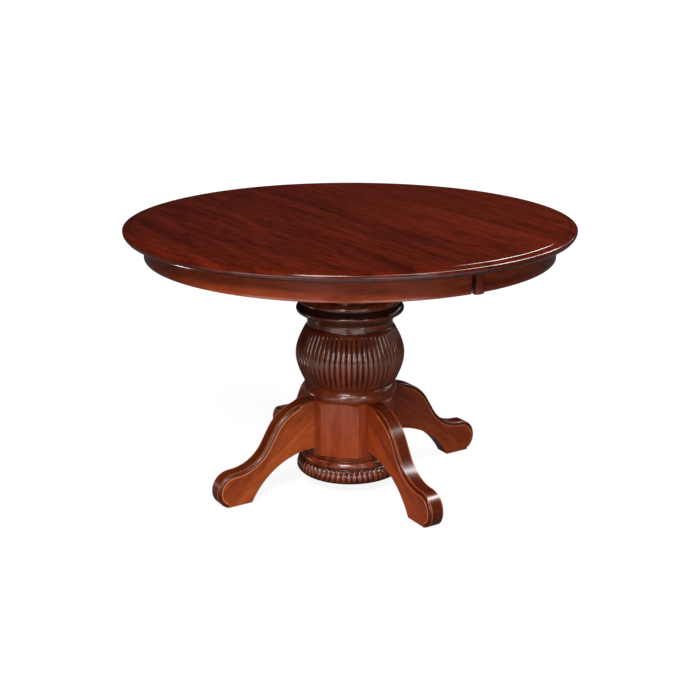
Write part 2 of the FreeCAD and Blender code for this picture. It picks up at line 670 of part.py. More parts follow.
def collar_ring():
    shelf = COLLAR_TOP - COLLAR_FILLET
    return turned([
        (ROD_HOLE, BLOCK_TOP),
        (COLLAR_RADIUS, BLOCK_TOP),
        (COLLAR_RADIUS, shelf, -COLLAR_BOW),
        (COLLAR_RADIUS, COLLAR_TOP),
        (ROD_HOLE, COLLAR_TOP),
    ])


def cavity(bottom):
    """Eight-sided well inside the block and the base ring, where the nuts of the legs are reached."""
    return prism(8, 2 * CAVITY_INRADIUS, bottom, CAVITY_TOP)


def leg_block():
    """Eight-sided block whose top corners are turned off to a round."""
    corner = BLOCK_INRADIUS / math.cos(math.pi / 8)
    slope = BLOCK_CROWN_FALL / (corner - BLOCK_CROWN_RADIUS)
    outside = 2 * BLOCK_INRADIUS
    crown = turned([
        (0, 0),
        (outside, 0),
        (outside, BLOCK_TOP - slope * (outside - BLOCK_CROWN_RADIUS)),
        (BLOCK_CROWN_RADIUS, BLOCK_TOP),
        (0, BLOCK_TOP),
    ])
    body = prism(8, 2 * BLOCK_INRADIUS, BLOCK_BOTTOM, BLOCK_TOP).common(crown)
    body = body.cut(cavity(BLOCK_BOTTOM)).cut(rod(ROD_HOLE, CAVITY_TOP, BLOCK_TOP))
    holes = [leg_bolt(height, LEG_BOLT_CLEARANCE) for height in LEG_BOLT_HEIGHTS]
    body = body.cut(four_ways(holes))
    return body.cut(base_ring_screws(SCREW_FIT))


def base_ring():
    upper = turned([
        (0, GADROON_TOP),
        (BASE_SHELF_RADIUS, GADROON_TOP),
        (BASE_NECK_RADIUS, BASE_SHELF_TOP, BASE_SHELF_BOW),
        (BASE_NECK_RADIUS, BASE_BEAD_TOP, -BASE_BEAD_BOW),
        (BASE_NECK_RADIUS, BLOCK_BOTTOM),
        (0, BLOCK_BOTTOM),
    ])
    sections = []
    for share, crest, depth in GADROON_TIER:
        height = BASE_CLEARANCE + share * GADROON_HEIGHT
        sections.append(scalloped_wire(height, GADROON_RADIUS * crest, GADROON_DEPTH * depth, GADROONS))
    ring = Part.makeLoft(sections, True, True).fuse(upper).cut(cavity(BASE_CLEARANCE))
    return ring.cut(base_ring_screws(SCREW_FIT, GADROON_HEIGHT))


def base_ring_screws(fit=0.0, counterbore=0.0):
    driven = screw(BASE_SCREW_CIRCLE, 0, GADROON_TOP, BLOCK_BOTTOM + SCREW_IN_BLOCK, fit, counterbore)
    return four_ways([turn_about(driven, BASE_SCREW_TURN)])


# Rod and leg bolts

def tie_rod():
    bottom = CAVITY_TOP - ROD_WASHER - ROD_NUT - ROD_END
    return rod(ROD_RADIUS, bottom, PLATE_TOP + ROD_WASHER + ROD_NUT + ROD_END)


def tie_rod_washers():
    washers = [
        rod(ROD_WASHER_RADIUS, CAVITY_TOP - ROD_WASHER, CAVITY_TOP),
        rod(ROD_WASHER_RADIUS, PLATE_TOP, PLATE_TOP + ROD_WASHER),
    ]
    return Part.makeCompound([washer.cut(tie_rod_bore()) for washer in washers])


def tie_rod_nuts():
    lower_top = CAVITY_TOP - ROD_WASHER
    upper_bottom = PLATE_TOP + ROD_WASHER
    nuts = [
        prism(6, ROD_NUT_FLATS, lower_top - ROD_NUT, lower_top),
        prism(6, ROD_NUT_FLATS, upper_bottom, upper_bottom + ROD_NUT),
    ]
    return Part.makeCompound([nut.cut(tie_rod_bore()) for nut in nuts])


def tie_rod_bore():
    return rod(ROD_RADIUS + SCREW_FIT, 0, TOP_HEIGHT)


def leg_bolt(height, clearance=0.0):
    start = CAVITY_INRADIUS - LEG_WASHER - LEG_NUT - LEG_BOLT_END
    length = BLOCK_INRADIUS + LEG_BOLT_GRIP - start
    return lying(rod(LEG_BOLT_RADIUS + clearance, 0, length), start, BLOCK_BOTTOM + height)


def leg_washer(height):
    ring = rod(LEG_WASHER_RADIUS, 0, LEG_WASHER).cut(rod(LEG_BOLT_RADIUS + SCREW_FIT, 0, LEG_WASHER))
    return lying(ring, CAVITY_INRADIUS - LEG_WASHER, BLOCK_BOTTOM + height)


def leg_nut(height):
    nut = prism(6, LEG_NUT_FLATS, 0, LEG_NUT).cut(rod(LEG_BOLT_RADIUS + SCREW_FIT, 0, LEG_NUT))
    return lying(nut, CAVITY_INRADIUS - LEG_WASHER - LEG_NUT, BLOCK_BOTTOM + height)


# Legs, drawn for the right-hand one

def leg_corners():
    corners = [
        (BLOCK_INRADIUS, LEG_TOP),
        (SHOULDER_OUT, LEG_TOP, SHOULDER_ROUND_SHARE),
        (WAIST_OUT, WAIST_HEIGHT, WAIST_ROUND_SHARE),
        (LEG_REACH, TOE_HEIGHT, TOE_ROUND_SHARE),
        (LEG_REACH, TOE_UNDER_HEIGHT, TOE_UNDER_ROUND_SHARE),
        (FOOT_FRONT, GLIDE_THICKNESS),
        (FOOT_HEEL, GLIDE_THICKNESS),
        (ARCH_OUT, LEG_UNDERSIDE, ARCH_ROUND_SHARE),
        (BLOCK_INRADIUS, LEG_UNDERSIDE),
    ]
    return fitted_rounding(corners)


def fitted_rounding(corners):
    """Turn a corner's third number from a share of the shorter edge beside it into a radius."""
    points = [Vector(corner[0], 0, corner[1]) for corner in corners]
    fitted = []
    for index, corner in enumerate(corners):
        if len(corner) == 2:
            fitted.append(corner)
            continue
        back = points[index - 1] - points[index]
        ahead = points[(index + 1) % len(points)] - points[index]
        room = corner[2] * min(back.Length, ahead.Length)
        fitted.append((corner[0], corner[1], room * math.tan(back.getAngle(ahead) / 2)))
    return fitted


def leg_slab(face, thickness):
    return face.translated(Vector(0, -thickness / 2, 0)).extrude(Vector(0, thickness, 0))


def inset_upper_edge(corners, inset):
    """Move the edges from the root over the toe inwards, and keep the foot and the arch where they are."""
    upper = 5
    points = [Vector(corner[0], 0, corner[1]) for corner in corners]
    moved = [(corners[0][0], corners[0][1] - inset)]
    for index in range(1, upper):
        arriving = (points[index] - points[index - 1]).normalize()
        leaving = (points[index + 1] - points[index]).normalize()
        inward = [Vector(run.z, 0, -run.x) for run in (arriving, leaving)]
        shift = (inward[0] + inward[1]) * (inset / (1 + inward[0].dot(inward[1])))
        hollow = arriving.cross(leaving).y < 0
        radius = corners[index][2] + (inset if hollow else -inset)
        place = points[index] + shift
        moved.append((place.x, place.z, radius))
    last_run = (points[upper] - points[upper - 1]).normalize()
    moved.append((corners[upper][0] - inset / abs(last_run.z), corners[upper][1]))
    return moved + corners[upper + 1:]


def leg():
    """Scroll leg with a rebate along both upper edges that stops short of the block."""
    outline = leg_corners()
    full = rounded_face(outline)
    core = leg_slab(full, LEG_THICKNESS - 2 * MOULD_WIDTH)
    cheeks = leg_slab(rounded_face(inset_upper_edge(outline, MOULD_DEPTH)), LEG_THICKNESS)
    reach = BLOCK_INRADIUS + MOULD_STOP
    root = leg_slab(full, LEG_THICKNESS).common(block((0, -HUGE, 0), (reach, HUGE, BLOCK_TOP)))
    body = core.fuse([cheeks, root]).removeSplitter()
    for height in LEG_BOLT_HEIGHTS:
        body = body.cut(leg_bolt(height, SCREW_FIT))
    return body


def foot_glide():
    middle = (FOOT_FRONT + FOOT_HEEL) / 2
    return rod(GLIDE_RADIUS, 0, GLIDE_THICKNESS, middle)


# All pieces by name

def pair(name, shape, pieces):
    pieces[name + "_front"], pieces[name + "_rear"] = front_and_rear(shape)


def all_pieces():
    pieces = {}
    for turn, side in ((0, "right"), (90, "back"), (180, "left"), (270, "front")):
        pieces["leg_" + side] = turn_about(leg(), turn)
    pieces["leg_block"] = leg_block()
    pieces["base_ring"] = base_ring()
    pieces["base_ring_screws"] = base_ring_screws()
    pieces["collar_ring"] = collar_ring()
    pieces["reeded_bulb"] = reeded_bulb()
    pieces["column_cap"] = column_cap()
    pieces["upper_column"] = upper_column()
    pieces["mounting_plate"] = mounting_plate()
    pieces["plate_bolts"] = plate_bolts()
    pieces["tie_rod"] = tie_rod()
    pieces["tie_rod_nuts"] = tie_rod_nuts()
    pieces["tie_rod_washers"] = tie_rod_washers()
    pieces["leg_bolts"] = four_ways([leg_bolt(height) for height in LEG_BOLT_HEIGHTS])
    pieces["leg_bolt_nuts"] = four_ways([leg_nut(height) for height in LEG_BOLT_HEIGHTS])
    pieces["leg_bolt_washers"] = four_ways([leg_washer(height) for height in LEG_BOLT_HEIGHTS])
    pieces["foot_glides"] = four_ways([foot_glide()])
    pair("centre_rail", centre_rail_rear(), pieces)
    pieces["centre_rail_screws"] = Part.makeCompound(front_and_rear(centre_screws_rear()))
    pieces["pinion_axles"] = Part.makeCompound(front_and_rear(axle_rear()))
    pair("pinion", pinion_rear(), pieces)

    pieces["top_left"] = top_half(-1)
    pieces["apron_left"] = apron_half(-1)
    pieces["left_glue_blocks"] = glue_blocks(-1)
    pieces["alignment_pins"] = pins()
    pair("left_rail", moving_rail_rear(), pieces)
    pieces["left_racks"] = Part.makeCompound(front_and_rear(rack_rear()))
    pieces["left_rail_screws"] = Part.makeCompound(front_and_rear(rail_screws_rear()))
    pieces["latch_plates"] = Part.makeCompound(front_and_rear(latch_plate()))
    pieces["latch_pivots"] = Part.makeCompound(front_and_rear(latch_pivot()))

    pieces["top_right"] = top_half(1)
    pieces["apron_right"] = apron_half(1)
    pieces["right_glue_blocks"] = glue_blocks(1)
    pair("seam_block", seam_block_rear(), pieces)
    pair("right_rail", other_side(moving_rail_rear()), pieces)
    pieces["right_racks"] = Part.makeCompound(front_and_rear(other_side(rack_rear())))
    pieces["right_rail_screws"] = Part.makeCompound(front_and_rear(other_side(rail_screws_rear())))
    pieces["latch_keepers"] = Part.makeCompound(front_and_rear(latch_keeper()))
    pieces["latch_lever_rear"], pieces["latch_lever_front"] = front_and_rear(latch_lever())
    return pieces


os.makedirs("parts", exist_ok=True)
for piece_name, piece_shape in all_pieces().items():
    piece_shape.exportStep("parts/" + piece_name + ".step")
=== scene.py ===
import math

import bmesh
import bpy
from mathutils import Matrix, Vector


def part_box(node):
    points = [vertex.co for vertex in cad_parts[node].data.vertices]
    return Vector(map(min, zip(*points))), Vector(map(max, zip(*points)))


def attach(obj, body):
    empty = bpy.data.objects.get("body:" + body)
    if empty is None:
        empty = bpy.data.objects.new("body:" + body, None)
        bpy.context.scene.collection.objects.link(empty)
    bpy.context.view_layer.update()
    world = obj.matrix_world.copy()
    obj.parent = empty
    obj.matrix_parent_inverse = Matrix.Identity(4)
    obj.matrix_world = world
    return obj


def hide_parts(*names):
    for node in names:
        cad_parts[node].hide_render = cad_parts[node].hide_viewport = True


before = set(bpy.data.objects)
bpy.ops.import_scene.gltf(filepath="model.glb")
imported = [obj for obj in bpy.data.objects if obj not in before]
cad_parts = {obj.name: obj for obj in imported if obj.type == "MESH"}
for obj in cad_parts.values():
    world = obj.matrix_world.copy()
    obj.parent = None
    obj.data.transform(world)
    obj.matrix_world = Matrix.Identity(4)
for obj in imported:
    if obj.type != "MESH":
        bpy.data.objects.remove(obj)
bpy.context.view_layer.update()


# Base ring
# The lowest ring of the pedestal, hardwood stained dark red-brown. It is turned with a full round over a
# narrow shelf, carved at the rim with sixty gadroons, glazed, lacquered, and screwed up under the leg block.

class Signal:
    """One socket of a finish's nodes. Sums on it add Math nodes to the same finish."""

    def __init__(self, tree, socket):
        self.tree = tree
        self.socket = socket

    def node(self, kind, settings, sockets, output=0):
        made = self.tree.nodes.new(kind)
        for name, setting in settings.items():
            setattr(made, name, setting)
        for name, given in sockets.items():
            if isinstance(given, Signal):
                self.tree.links.new(given.socket, made.inputs[name])
            else:
                made.inputs[name].default_value = given
        return Signal(self.tree, made.outputs[output])

    def math(self, operation, *others):
        return self.node("ShaderNodeMath", {"operation": operation}, dict(enumerate((self, *others))))

    def __add__(self, other):
        return self.math("ADD", other)

    def __sub__(self, other):
        return self.math("SUBTRACT", other)

    def __rsub__(self, other):
        return self * -1.0 + other

    def __mul__(self, other):
        return self.math("MULTIPLY", other)

    __radd__ = __add__
    __rmul__ = __mul__

    def parts(self):
        return [self.node("ShaderNodeSeparateXYZ", {}, {"Vector": self}, axis) for axis in range(3)]

    def noise(self, x, y, z, detail):
        spot = self.node("ShaderNodeCombineXYZ", {}, {"X": x, "Y": y, "Z": z})
        return self.node("ShaderNodeTexNoise", {}, {"Vector": spot, "Scale": 1.0, "Detail": detail})

    def between(self, low, high):
        return self.node(
            "ShaderNodeMapRange", {"interpolation_type": "SMOOTHSTEP"},
            {"Value": self, "From Min": low, "From Max": high},
        )

    def mix(self, first, second):
        colour_sockets = {0: self, 6: first, 7: second}
        return self.node("ShaderNodeMix", {"data_type": "RGBA"}, colour_sockets, 2)

    def attribute(self, name):
        return self.node("ShaderNodeAttribute", {"attribute_name": name}, {}, 2)

    def feed(self, target, name):
        self.tree.links.new(self.socket, target.inputs[name])


def new_finish(name):
    """An empty finish, its shader, and the place on the piece as a signal."""
    finish = bpy.data.materials.new(name)
    finish.use_nodes = True
    tree = finish.node_tree
    place = Signal(tree, tree.nodes.new("ShaderNodeTexCoord").outputs["Object"])
    return finish, tree.nodes["Principled BSDF"], place


def tinted(colour, *tints):
    """A colour times one share for each of its parts, and opaque."""
    return (*(part * tint for part, tint in zip(colour, tints)), 1.0)


def stained_wood(name, deep, pale, fibre, shift=0.0, gloss=0.2, boards=0.0, joint=0.0, contrast=1.0):
    """Stained and lacquered wood. fibre gives places across, through and along the grain from x, y and z.
    Boards of the given width differ a little in tone, or wood below a glue joint is paler by a share.
    Wear below nought is darkened with glaze, and on some pieces with painted shade. Above nought the stain
    is rubbed back, which on the legs' fillets and the reeds' crests is partly a painted highlight."""
    finish, shader, place = new_finish(name)
    across, through, along = fibre(*place.parts())
    joint_blur = 0.0004
    board_tone = across.between(joint_blur, -joint_blur) * joint
    along = along + shift
    if boards:
        board_jump = 9.0
        board_range = 0.3
        count = (across * (1 / boards) + shift).math("FLOOR")
        board = count.node("ShaderNodeTexWhiteNoise", {"noise_dimensions": "1D"}, {"W": count})
        along = along + board * board_jump
        board_tone = board * board_range - board_range / 2
    drift = place.noise(across * 7.0, through * 7.0, along * 1.1, 2.0)
    bands = place.noise(across * 46.0, through * 46.0, along * 5.0 + 3.0, 3.0)
    mottle = place.noise(across * 64.0, through * 64.0, along * 26.0 + 7.0, 3.0)
    fibres = place.noise(across * 420.0, through * 420.0, along * 9.0, 2.0)
    pores = place.noise(across * 260.0, through * 260.0, along * 17.0 + 5.0, 2.0).between(0.58, 0.74)
    # Each noise is a half on average, so the last number centres the figure on nought.
    figure = drift * 0.9 + bands * 1.3 + mottle * 0.9 + fibres * 0.4 - 1.75
    tone = figure * contrast + board_tone + 0.5
    colour = tone.mix((*deep, 1.0), (*pale, 1.0))
    pore_colour = tinted(deep, 0.4, 0.4, 0.4)
    # The glaze colour also serves as painted shade, and the rubbed colour partly as a painted highlight.
    glaze_and_shade_colour = tinted(deep, 0.12, 0.12, 0.12)
    rubbed_and_highlight_colour = tinted(pale, 1.7, 2.7, 4.5)
    worn_and_painted_light = place.attribute("wear_and_painted_light")
    colour = (pores * 0.5).mix(colour, pore_colour)
    colour = (worn_and_painted_light * -0.9).between(0.0, 1.0).mix(colour, glaze_and_shade_colour)
    colour = (worn_and_painted_light * 0.85).between(0.0, 1.0).mix(colour, rubbed_and_highlight_colour)
    colour.feed(shader, "Base Color")
    (fibres * 0.08 + pores * 0.06 + (gloss - 0.05)).feed(shader, "Roughness")
    lift = place.node("ShaderNodeBump", {}, {"Strength": 0.12, "Distance": 0.0003, "Height": fibres})
    lift.feed(shader, "Normal")
    shader.inputs["Specular IOR Level"].default_value = 0.4
    return finish


def swollen_path(corners, run):
    """Points along a section from its corners (radius, height). A third number swells the edge that leads to
    a corner into an arc, outwards above nought and inwards below."""
    fewest_parts = 6
    path = [Vector(corners[0][:2])]
    for corner in corners[1:]:
        start = path[-1]
        end = Vector(corner[:2])
        chord = end - start
        swell = corner[2] if len(corner) == 3 else 0.0
        count = max(1, math.ceil(chord.length / run))
        if not swell:
            path += [start + chord * (part / count) for part in range(1, count + 1)]
            continue
        outward = Vector((chord.y, -chord.x)).normalized() * math.copysign(1.0, swell)
        half = 2 * math.atan(2 * abs(swell) / chord.length)
        radius = chord.length / 2 / math.sin(half)
        centre = (start + end) / 2 + outward * (abs(swell) - radius)
        count = max(fewest_parts, 2 * count)
        for part in range(1, count):
            swing = half * (2 * part / count - 1)
            spoke = chord.normalized() * math.sin(swing) + outward * math.cos(swing)
            path.append(centre + spoke * radius)
        path.append(end)
    return path


def turned_outline(corners, ease=0.0007, run=0.003, rub=0.4, glaze=1.0):
    """Points (radius, height, wear) of a turned section, from its corners. Sharp corners are eased and
    rubbed, and glaze gathers in the hollow ones."""
    sharp_bend = math.sin(math.radians(20))
    rounding = 0.3
    glaze_spread = 0.003
    path = swollen_path(corners, run)
    outline = [(path[0], 0.0)]
    hollows = []
    for before, here, after in zip(path, path[1:], path[2:]):
        arriving = (here - before).normalized()
        leaving = (after - here).normalized()
        bend = arriving.x * leaving.y - arriving.y * leaving.x
        if abs(bend) < sharp_bend:
            outline.append((here, 0.0))
            continue
        cut = min(ease, (here - before).length / 3, (after - here).length / 3)
        middle = here + (leaving - arriving) * cut * rounding
        wear_and_painted_light = rub if bend > 0 else 0.0
        if bend < 0:
            hollows.append(here)
        outline += [(here - arriving * cut, wear_and_painted_light), (middle, wear_and_painted_light), (here + leaving * cut, wear_and_painted_light)]
    outline.append((path[-1], 0.0))
    result = []
    for point, wear_and_painted_light in outline:
        depth = max([math.exp(-(point - hollow).length / glaze_spread) for hollow in hollows], default=0.0)
        result.append((point.x, point.y, wear_and_painted_light - glaze * depth))
    return result


def ring_stack(rings, turns):
    """Points, faces and wear of a closed stack of rings. A ring is its heights, radii and wear by turn."""
    points = []
    wear_and_painted_light = []
    for heights, radii, worn_and_painted_light in rings:
        for height, radius, turn in zip(heights, radii, turns):
            points.append((radius * math.cos(turn), radius * math.sin(turn), height))
        wear_and_painted_light += worn_and_painted_light
    around = len(turns)
    faces = []
    for ring in range(len(rings)):
        above = (ring + 1) % len(rings) * around
        for step in range(around):
            beside = (step + 1) % around
            faces.append((ring * around + step, ring * around + beside, above + beside, above + step))
    return points, faces, wear_and_painted_light


def even_turns(count):
    """Angles spread evenly round a circle."""
    return [2 * math.pi * step / count for step in range(count)]


def round_rings(outline, count):
    """Plain round rings from the points of a turned outline."""
    return [([height] * count, [radius] * count, [worn_and_painted_light] * count) for radius, height, worn_and_painted_light in outline]


def add_piece(name, shape, finish, body, node, sharp=38.0):
    """A new piece that stands for a node of the frame and rides on its body."""
    points, faces, wear_and_painted_light = shape
    mesh = bpy.data.meshes.new(name)
    mesh.from_pydata(points, [], faces)
    layer = mesh.attributes.new("wear_and_painted_light", "FLOAT", "POINT")
    layer.data.foreach_set("value", wear_and_painted_light)
    work = bmesh.new()
    work.from_mesh(mesh)
    bmesh.ops.recalc_face_normals(work, faces=work.faces)
    work.to_mesh(mesh)
    work.free()
    mesh.shade_smooth()
    mesh.set_sharp_from_angle(angle=math.radians(sharp))
    mesh.materials.append(finish)
    piece = bpy.data.objects.new(name, mesh)
    bpy.context.scene.collection.objects.link(piece)
    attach(piece, body)
    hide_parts(node)
    return piece


def upright_fibre(x, y, z):
    """Grain that runs up the piece."""
    return x, y, z


turned_deep = (0.075, 0.0100, 0.0034)
turned_pale = (0.260, 0.0460, 0.0140)
turned_wood = stained_wood("turned_wood", turned_deep, turned_pale, upright_fibre)

base_low, base_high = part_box("base_ring")
well_radius = 0.055
base_foot_radius = 0.144
gadroons = 60
gadroon_steps = 14
gadroon_rows = 24
gadroon_height = 0.036
gadroon_radius = 0.1525
gadroon_depth = 0.0038
belly_share = 0.25
foot_draw = 0.0053
head_draw = 0.0091
foot_depth_share = 0.3
deepening_share = 0.55
unshaded_share = 0.6
tip_share = 0.5
dart_rise = 0.5
gadroon_rub = 0.35
gadroon_glaze = 0.95
# Painted shade: the lower gadroons and the round under them are darkened, as they face down.
foot_painted_shade = 0.8
carved_sharp = 60.0


def gadroon_row(share):
    """One ring through the carved rim, at a share of its height: round lobes with a dart between their tips,
    that run out over the round below, which is painted dark as shade."""
    if share < belly_share:
        crest = gadroon_radius - foot_draw * (1 - share / belly_share) ** 2
    else:
        crest = gadroon_radius - head_draw * ((share - belly_share) / (1 - belly_share)) ** 2
    depth = gadroon_depth * min(1.0, foot_depth_share + share / deepening_share)
    unshaded = min(1.0, share / unshaded_share)
    tip = max(0.0, share - tip_share) / (1 - tip_share)
    width = math.sqrt(max(0.0, 1 - tip ** 2))
    # Just over 1, so that lobes of full width, with no room for a dart, do not divide by nought.
    half_pitch = 1.001
    radii = []
    worn_and_painted_light = []
    for step in range(gadroons * gadroon_steps):
        place = abs(2 * (step % gadroon_steps) / gadroon_steps - 1)
        if place < width:
            rise = math.sqrt(1 - (place / width) ** 2)
        else:
            rise = dart_rise * (place - width) / (half_pitch - width)
        radii.append(crest - depth * (1 - rise))
        lobe_wear = gadroon_rub * rise ** 4 - gadroon_glaze * (1 - rise ** 2)
        worn_and_painted_light.append(lobe_wear * unshaded - foot_painted_shade * (1 - unshaded))
    height = base_low.z + share * gadroon_height
    return [height] * len(radii), radii, worn_and_painted_light


shelf_low = base_low.z + gadroon_height
shelf_radius = 0.1405
shelf_fall = 0.0015
round_radius = 0.1385
round_height = 0.022
round_swell = 0.0045
base_neck = 0.129
base_turns = even_turns(gadroons * gadroon_steps)
shelf_outline = turned_outline([
    (shelf_radius, shelf_low),
    (round_radius, shelf_low + shelf_fall),
    (base_neck, shelf_low + round_height, round_swell),
    (base_neck, base_high.z),
], rub=0.0)
base_foot = [(well_radius, base_low.z, 0.0), (base_foot_radius, base_low.z, 0.0)]
base_rings = round_rings(base_foot, len(base_turns))
base_rings += [gadroon_row(row / (gadroon_rows - 1)) for row in range(gadroon_rows)]
base_rings += round_rings(shelf_outline, len(base_turns))
base_rings += round_rings([(well_radius, base_high.z, 0.0)], len(base_turns))
base_shape = ring_stack(base_rings, base_turns)
add_piece("base_ring_carved", base_shape, turned_wood, "pedestal", "base_ring", carved_sharp)


# Leg block
# The eight-sided core of the pedestal, glued up from hardwood with the grain upright. Its top corners are
# turned off to a round, its arrises just eased, and a well inside leaves room for the nuts of the leg bolts.

block_low, block_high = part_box("leg_block")
block_inradius = block_high.x
block_sides = 8
block_head = 0.036
well_top = block_high.z - block_head
rod_hole = 0.009
crown_radius = 0.126
crown_fall = 0.008
arris_turn = 22.2
flat_turn = 21.6
turn_step = 3.0
half_face_steps = 6
arris_rub = 0.15
block_sharp = 30.0
face_turns = [turn_step * step for step in range(-half_face_steps, half_face_steps + 1)]
face_turns = [-arris_turn, -flat_turn] + face_turns + [flat_turn, arris_turn]
side_turns = [360 / block_sides * side for side in range(block_sides)]
block_turns = [math.radians(side_turn + turn) for side_turn in side_turns for turn in face_turns]
block_radii = [block_inradius / math.cos(math.radians(turn)) for turn in face_turns] * block_sides
block_wear = [arris_rub if abs(turn) == arris_turn else 0.0 for turn in face_turns] * block_sides
crown_slope = crown_fall / (max(block_radii) - crown_radius)
crown_heights = [block_high.z - crown_slope * (radius - crown_radius) for radius in block_radii]


def block_ring(radius, height):
    """A plain round ring with the turns of the block."""
    count = len(block_turns)
    return [height] * count, [radius] * count, [0.0] * count


block_shape = ring_stack([
    block_ring(well_radius, block_low.z),
    ([block_low.z] * len(block_turns), block_radii, block_wear),
    (crown_heights, block_radii, block_wear),
    block_ring(crown_radius, block_high.z),
    block_ring(rod_hole, block_high.z),
    block_ring(rod_hole, well_top),
    block_ring(well_radius, well_top),
], block_turns)
block_deep = (0.130, 0.0130, 0.0030)
block_pale = (0.390, 0.0690, 0.0190)
block_shift = 3.1
block_contrast = 0.65
block_wood = stained_wood(
    "block_wood", block_deep, block_pale, upright_fibre, block_shift, contrast=block_contrast,
)
add_piece("leg_block_eased", block_shape, block_wood, "pedestal", "leg_block", block_sharp)


# Legs
# Four scroll legs bolted to the block, each sawn from two glued boards with the grain running down the leg.
# A cutter has moulded their upper edges, from near the block to the toe, with an ovolo between two fillets.

leg_low, leg_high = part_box("leg_right")
leg_half = leg_high.y
leg_foot = leg_low.z
leg_top = leg_high.z
leg_reach = leg_high.x
leg_root = block_inradius
leg_depth = 0.138
leg_underside = leg_top - leg_depth
waist_back = 0.119
waist_out = leg_reach - waist_back
waist_height = 0.098
shoulder_share = 0.495
shoulder_out = leg_root + shoulder_share * (waist_out - leg_root)
arch_back = 0.049
arch_out = waist_out - arch_back
toe_height = 0.096
toe_low = 0.015
toe_overhang = 0.026
foot_length = 0.075
foot_front = leg_reach - toe_overhang
foot_back = foot_front - foot_length
# Corners of the outline: out, up, and for a bend the share of the shorter edge beside it that it takes.
leg_outline = (
    (leg_root, leg_top),
    (shoulder_out, leg_top, 0.86),
    (waist_out, waist_height, 0.55),
    (leg_reach, toe_height, 0.62),
    (leg_reach, toe_low, 0.98),
    (foot_front, leg_foot),
    (foot_back, leg_foot),
    (arch_out, leg_underside, 0.95),
    (leg_root, leg_underside),
)
moulded_corners = 5
mould_width = 0.0062
mould_depth = 0.0098
mould_fillet = 0.0013
mould_stop = 0.036
mould_run_out = 0.014
ovolo_parts = 6
plain_ease = 0.0012
plain_rub = 0.2
# The bright lines along the fillets are rubbed edges and partly a painted highlight.
fillet_rub_and_highlight = 0.55
rubbed_and_highlight_width = 0.0013
arris_drop = 0.0002
side_margin = 0.004
# The faces between the mouldings on the upper edges are darkened.
upper_face_darkening = -0.7
mitre_limit = 0.5


def rounded_points(corners, step=0.004):
    """Points round an outline with rounded bends, each with the number of the corner that it follows."""
    fewest_parts = 4
    places = [Vector(corner[:2]) for corner in corners]
    bends = []
    for index, corner in enumerate(corners):
        here = places[index]
        back = places[index - 1] - here
        ahead = places[(index + 1) % len(places)] - here
        if len(corner) == 2:
            bends.append([here])
            continue
        room = corner[2] * min(back.length, ahead.length)
        half = back.angle(ahead) / 2
        radius = room * math.tan(half)
        crown = (back.normalized() + ahead.normalized()).normalized()
        sideways = (back.normalized() - ahead.normalized()).normalized()
        centre = here + crown * (radius / math.sin(half))
        swing = math.pi / 2 - half
        count = max(fewest_parts, math.ceil(2 * swing * radius / step))
        turns = [swing * (1 - 2 * part / count) for part in range(count + 1)]
        spokes = [sideways * math.sin(turn) - crown * math.cos(turn) for turn in turns]
        bends.append([centre + spoke * radius for spoke in spokes])
    points = []
    for corner, bend in enumerate(bends):
        straight = bends[(corner + 1) % len(bends)][0] - bend[-1]
        count = math.ceil(straight.length / step)
        run = [bend[-1] + straight * (part / count) for part in range(1, count)]
        points += [(point, corner) for point in bend + run]
    return points


def leg_section(amount, toned):
    """Places across the leg's edge, out from its middle and down from its outline, with their wear, painted
    highlight and darkening. The amount goes from 0, a plain eased edge, to 1, the whole moulding."""
    width = plain_ease + (mould_width - plain_ease) * amount
    depth = plain_ease + (mould_depth - plain_ease) * amount
    fillet = mould_fillet * amount
    rubbed_and_highlight = plain_rub + (1 - plain_rub) * amount
    faint = fillet_rub_and_highlight * rubbed_and_highlight
    section = [
        (leg_half - width - side_margin, 0.0, toned),
        (leg_half - width - rubbed_and_highlight_width * amount, 0.0, faint),
        (leg_half - width, 0.0, faint),
    ]
    for part in range(ovolo_parts + 1):
        turn = math.pi / 2 * part / ovolo_parts
        out = leg_half - width + (width - fillet) * math.sin(turn)
        down = fillet + (depth - fillet) * (1 - math.cos(turn))
        section.append((out, down, toned))
    section += [
        (leg_half, depth + arris_drop, rubbed_and_highlight),
        (leg_half, depth + arris_drop + rubbed_and_highlight_width * amount, rubbed_and_highlight),
        (leg_half, depth + side_margin, 0.0),
    ]
    return [(-out, down, worn_and_painted_light) for out, down, worn_and_painted_light in reversed(section)] + section


def leg_shape():
    """Leg along +X: its outline carried round with an edge that is moulded above and just eased below."""
    outline = rounded_points(leg_outline)
    count = len(outline)
    points = []
    wear_and_painted_light = []
    rows = []
    for index, (here, corner) in enumerate(outline):
        arriving = (here - outline[index - 1][0]).normalized()
        leaving = (outline[(index + 1) % count][0] - here).normalized()
        inward = Vector((arriving.y + leaving.y, -arriving.x - leaving.x)).normalized()
        inward /= max(mitre_limit, inward.dot(Vector((leaving.y, -leaving.x))))
        amount = 0.0
        toned = 0.0
        if corner < moulded_corners:
            amount = min(1.0, max(0.0, (here.x - leg_root - mould_stop) / mould_run_out))
            toned = upper_face_darkening
        row = []
        for out, down, worn_and_painted_light in leg_section(amount, toned):
            row.append(len(points))
            spot = here + inward * down
            points.append((spot.x, out, spot.y))
            wear_and_painted_light.append(worn_and_painted_light)
        rows.append(row)
    faces = []
    for index, row in enumerate(rows):
        after = rows[(index + 1) % count]
        for first, second, third, fourth in zip(row, row[1:], after[1:], after):
            faces.append((first, second, third, fourth))
    faces.append([row[0] for row in rows])
    faces.append([row[-1] for row in rows])
    return points, faces, wear_and_painted_light


def leg_fibre(x, y, z):
    """Grain that runs down the leg, counted across from the glue joint between its two boards."""
    slope = math.radians(-37)
    joint_out = 0.165
    joint_up = 0.190
    out = x - joint_out
    up = z - joint_up
    along = out * math.cos(slope) + up * math.sin(slope)
    across = up * math.cos(slope) - out * math.sin(slope)
    return across, y, along


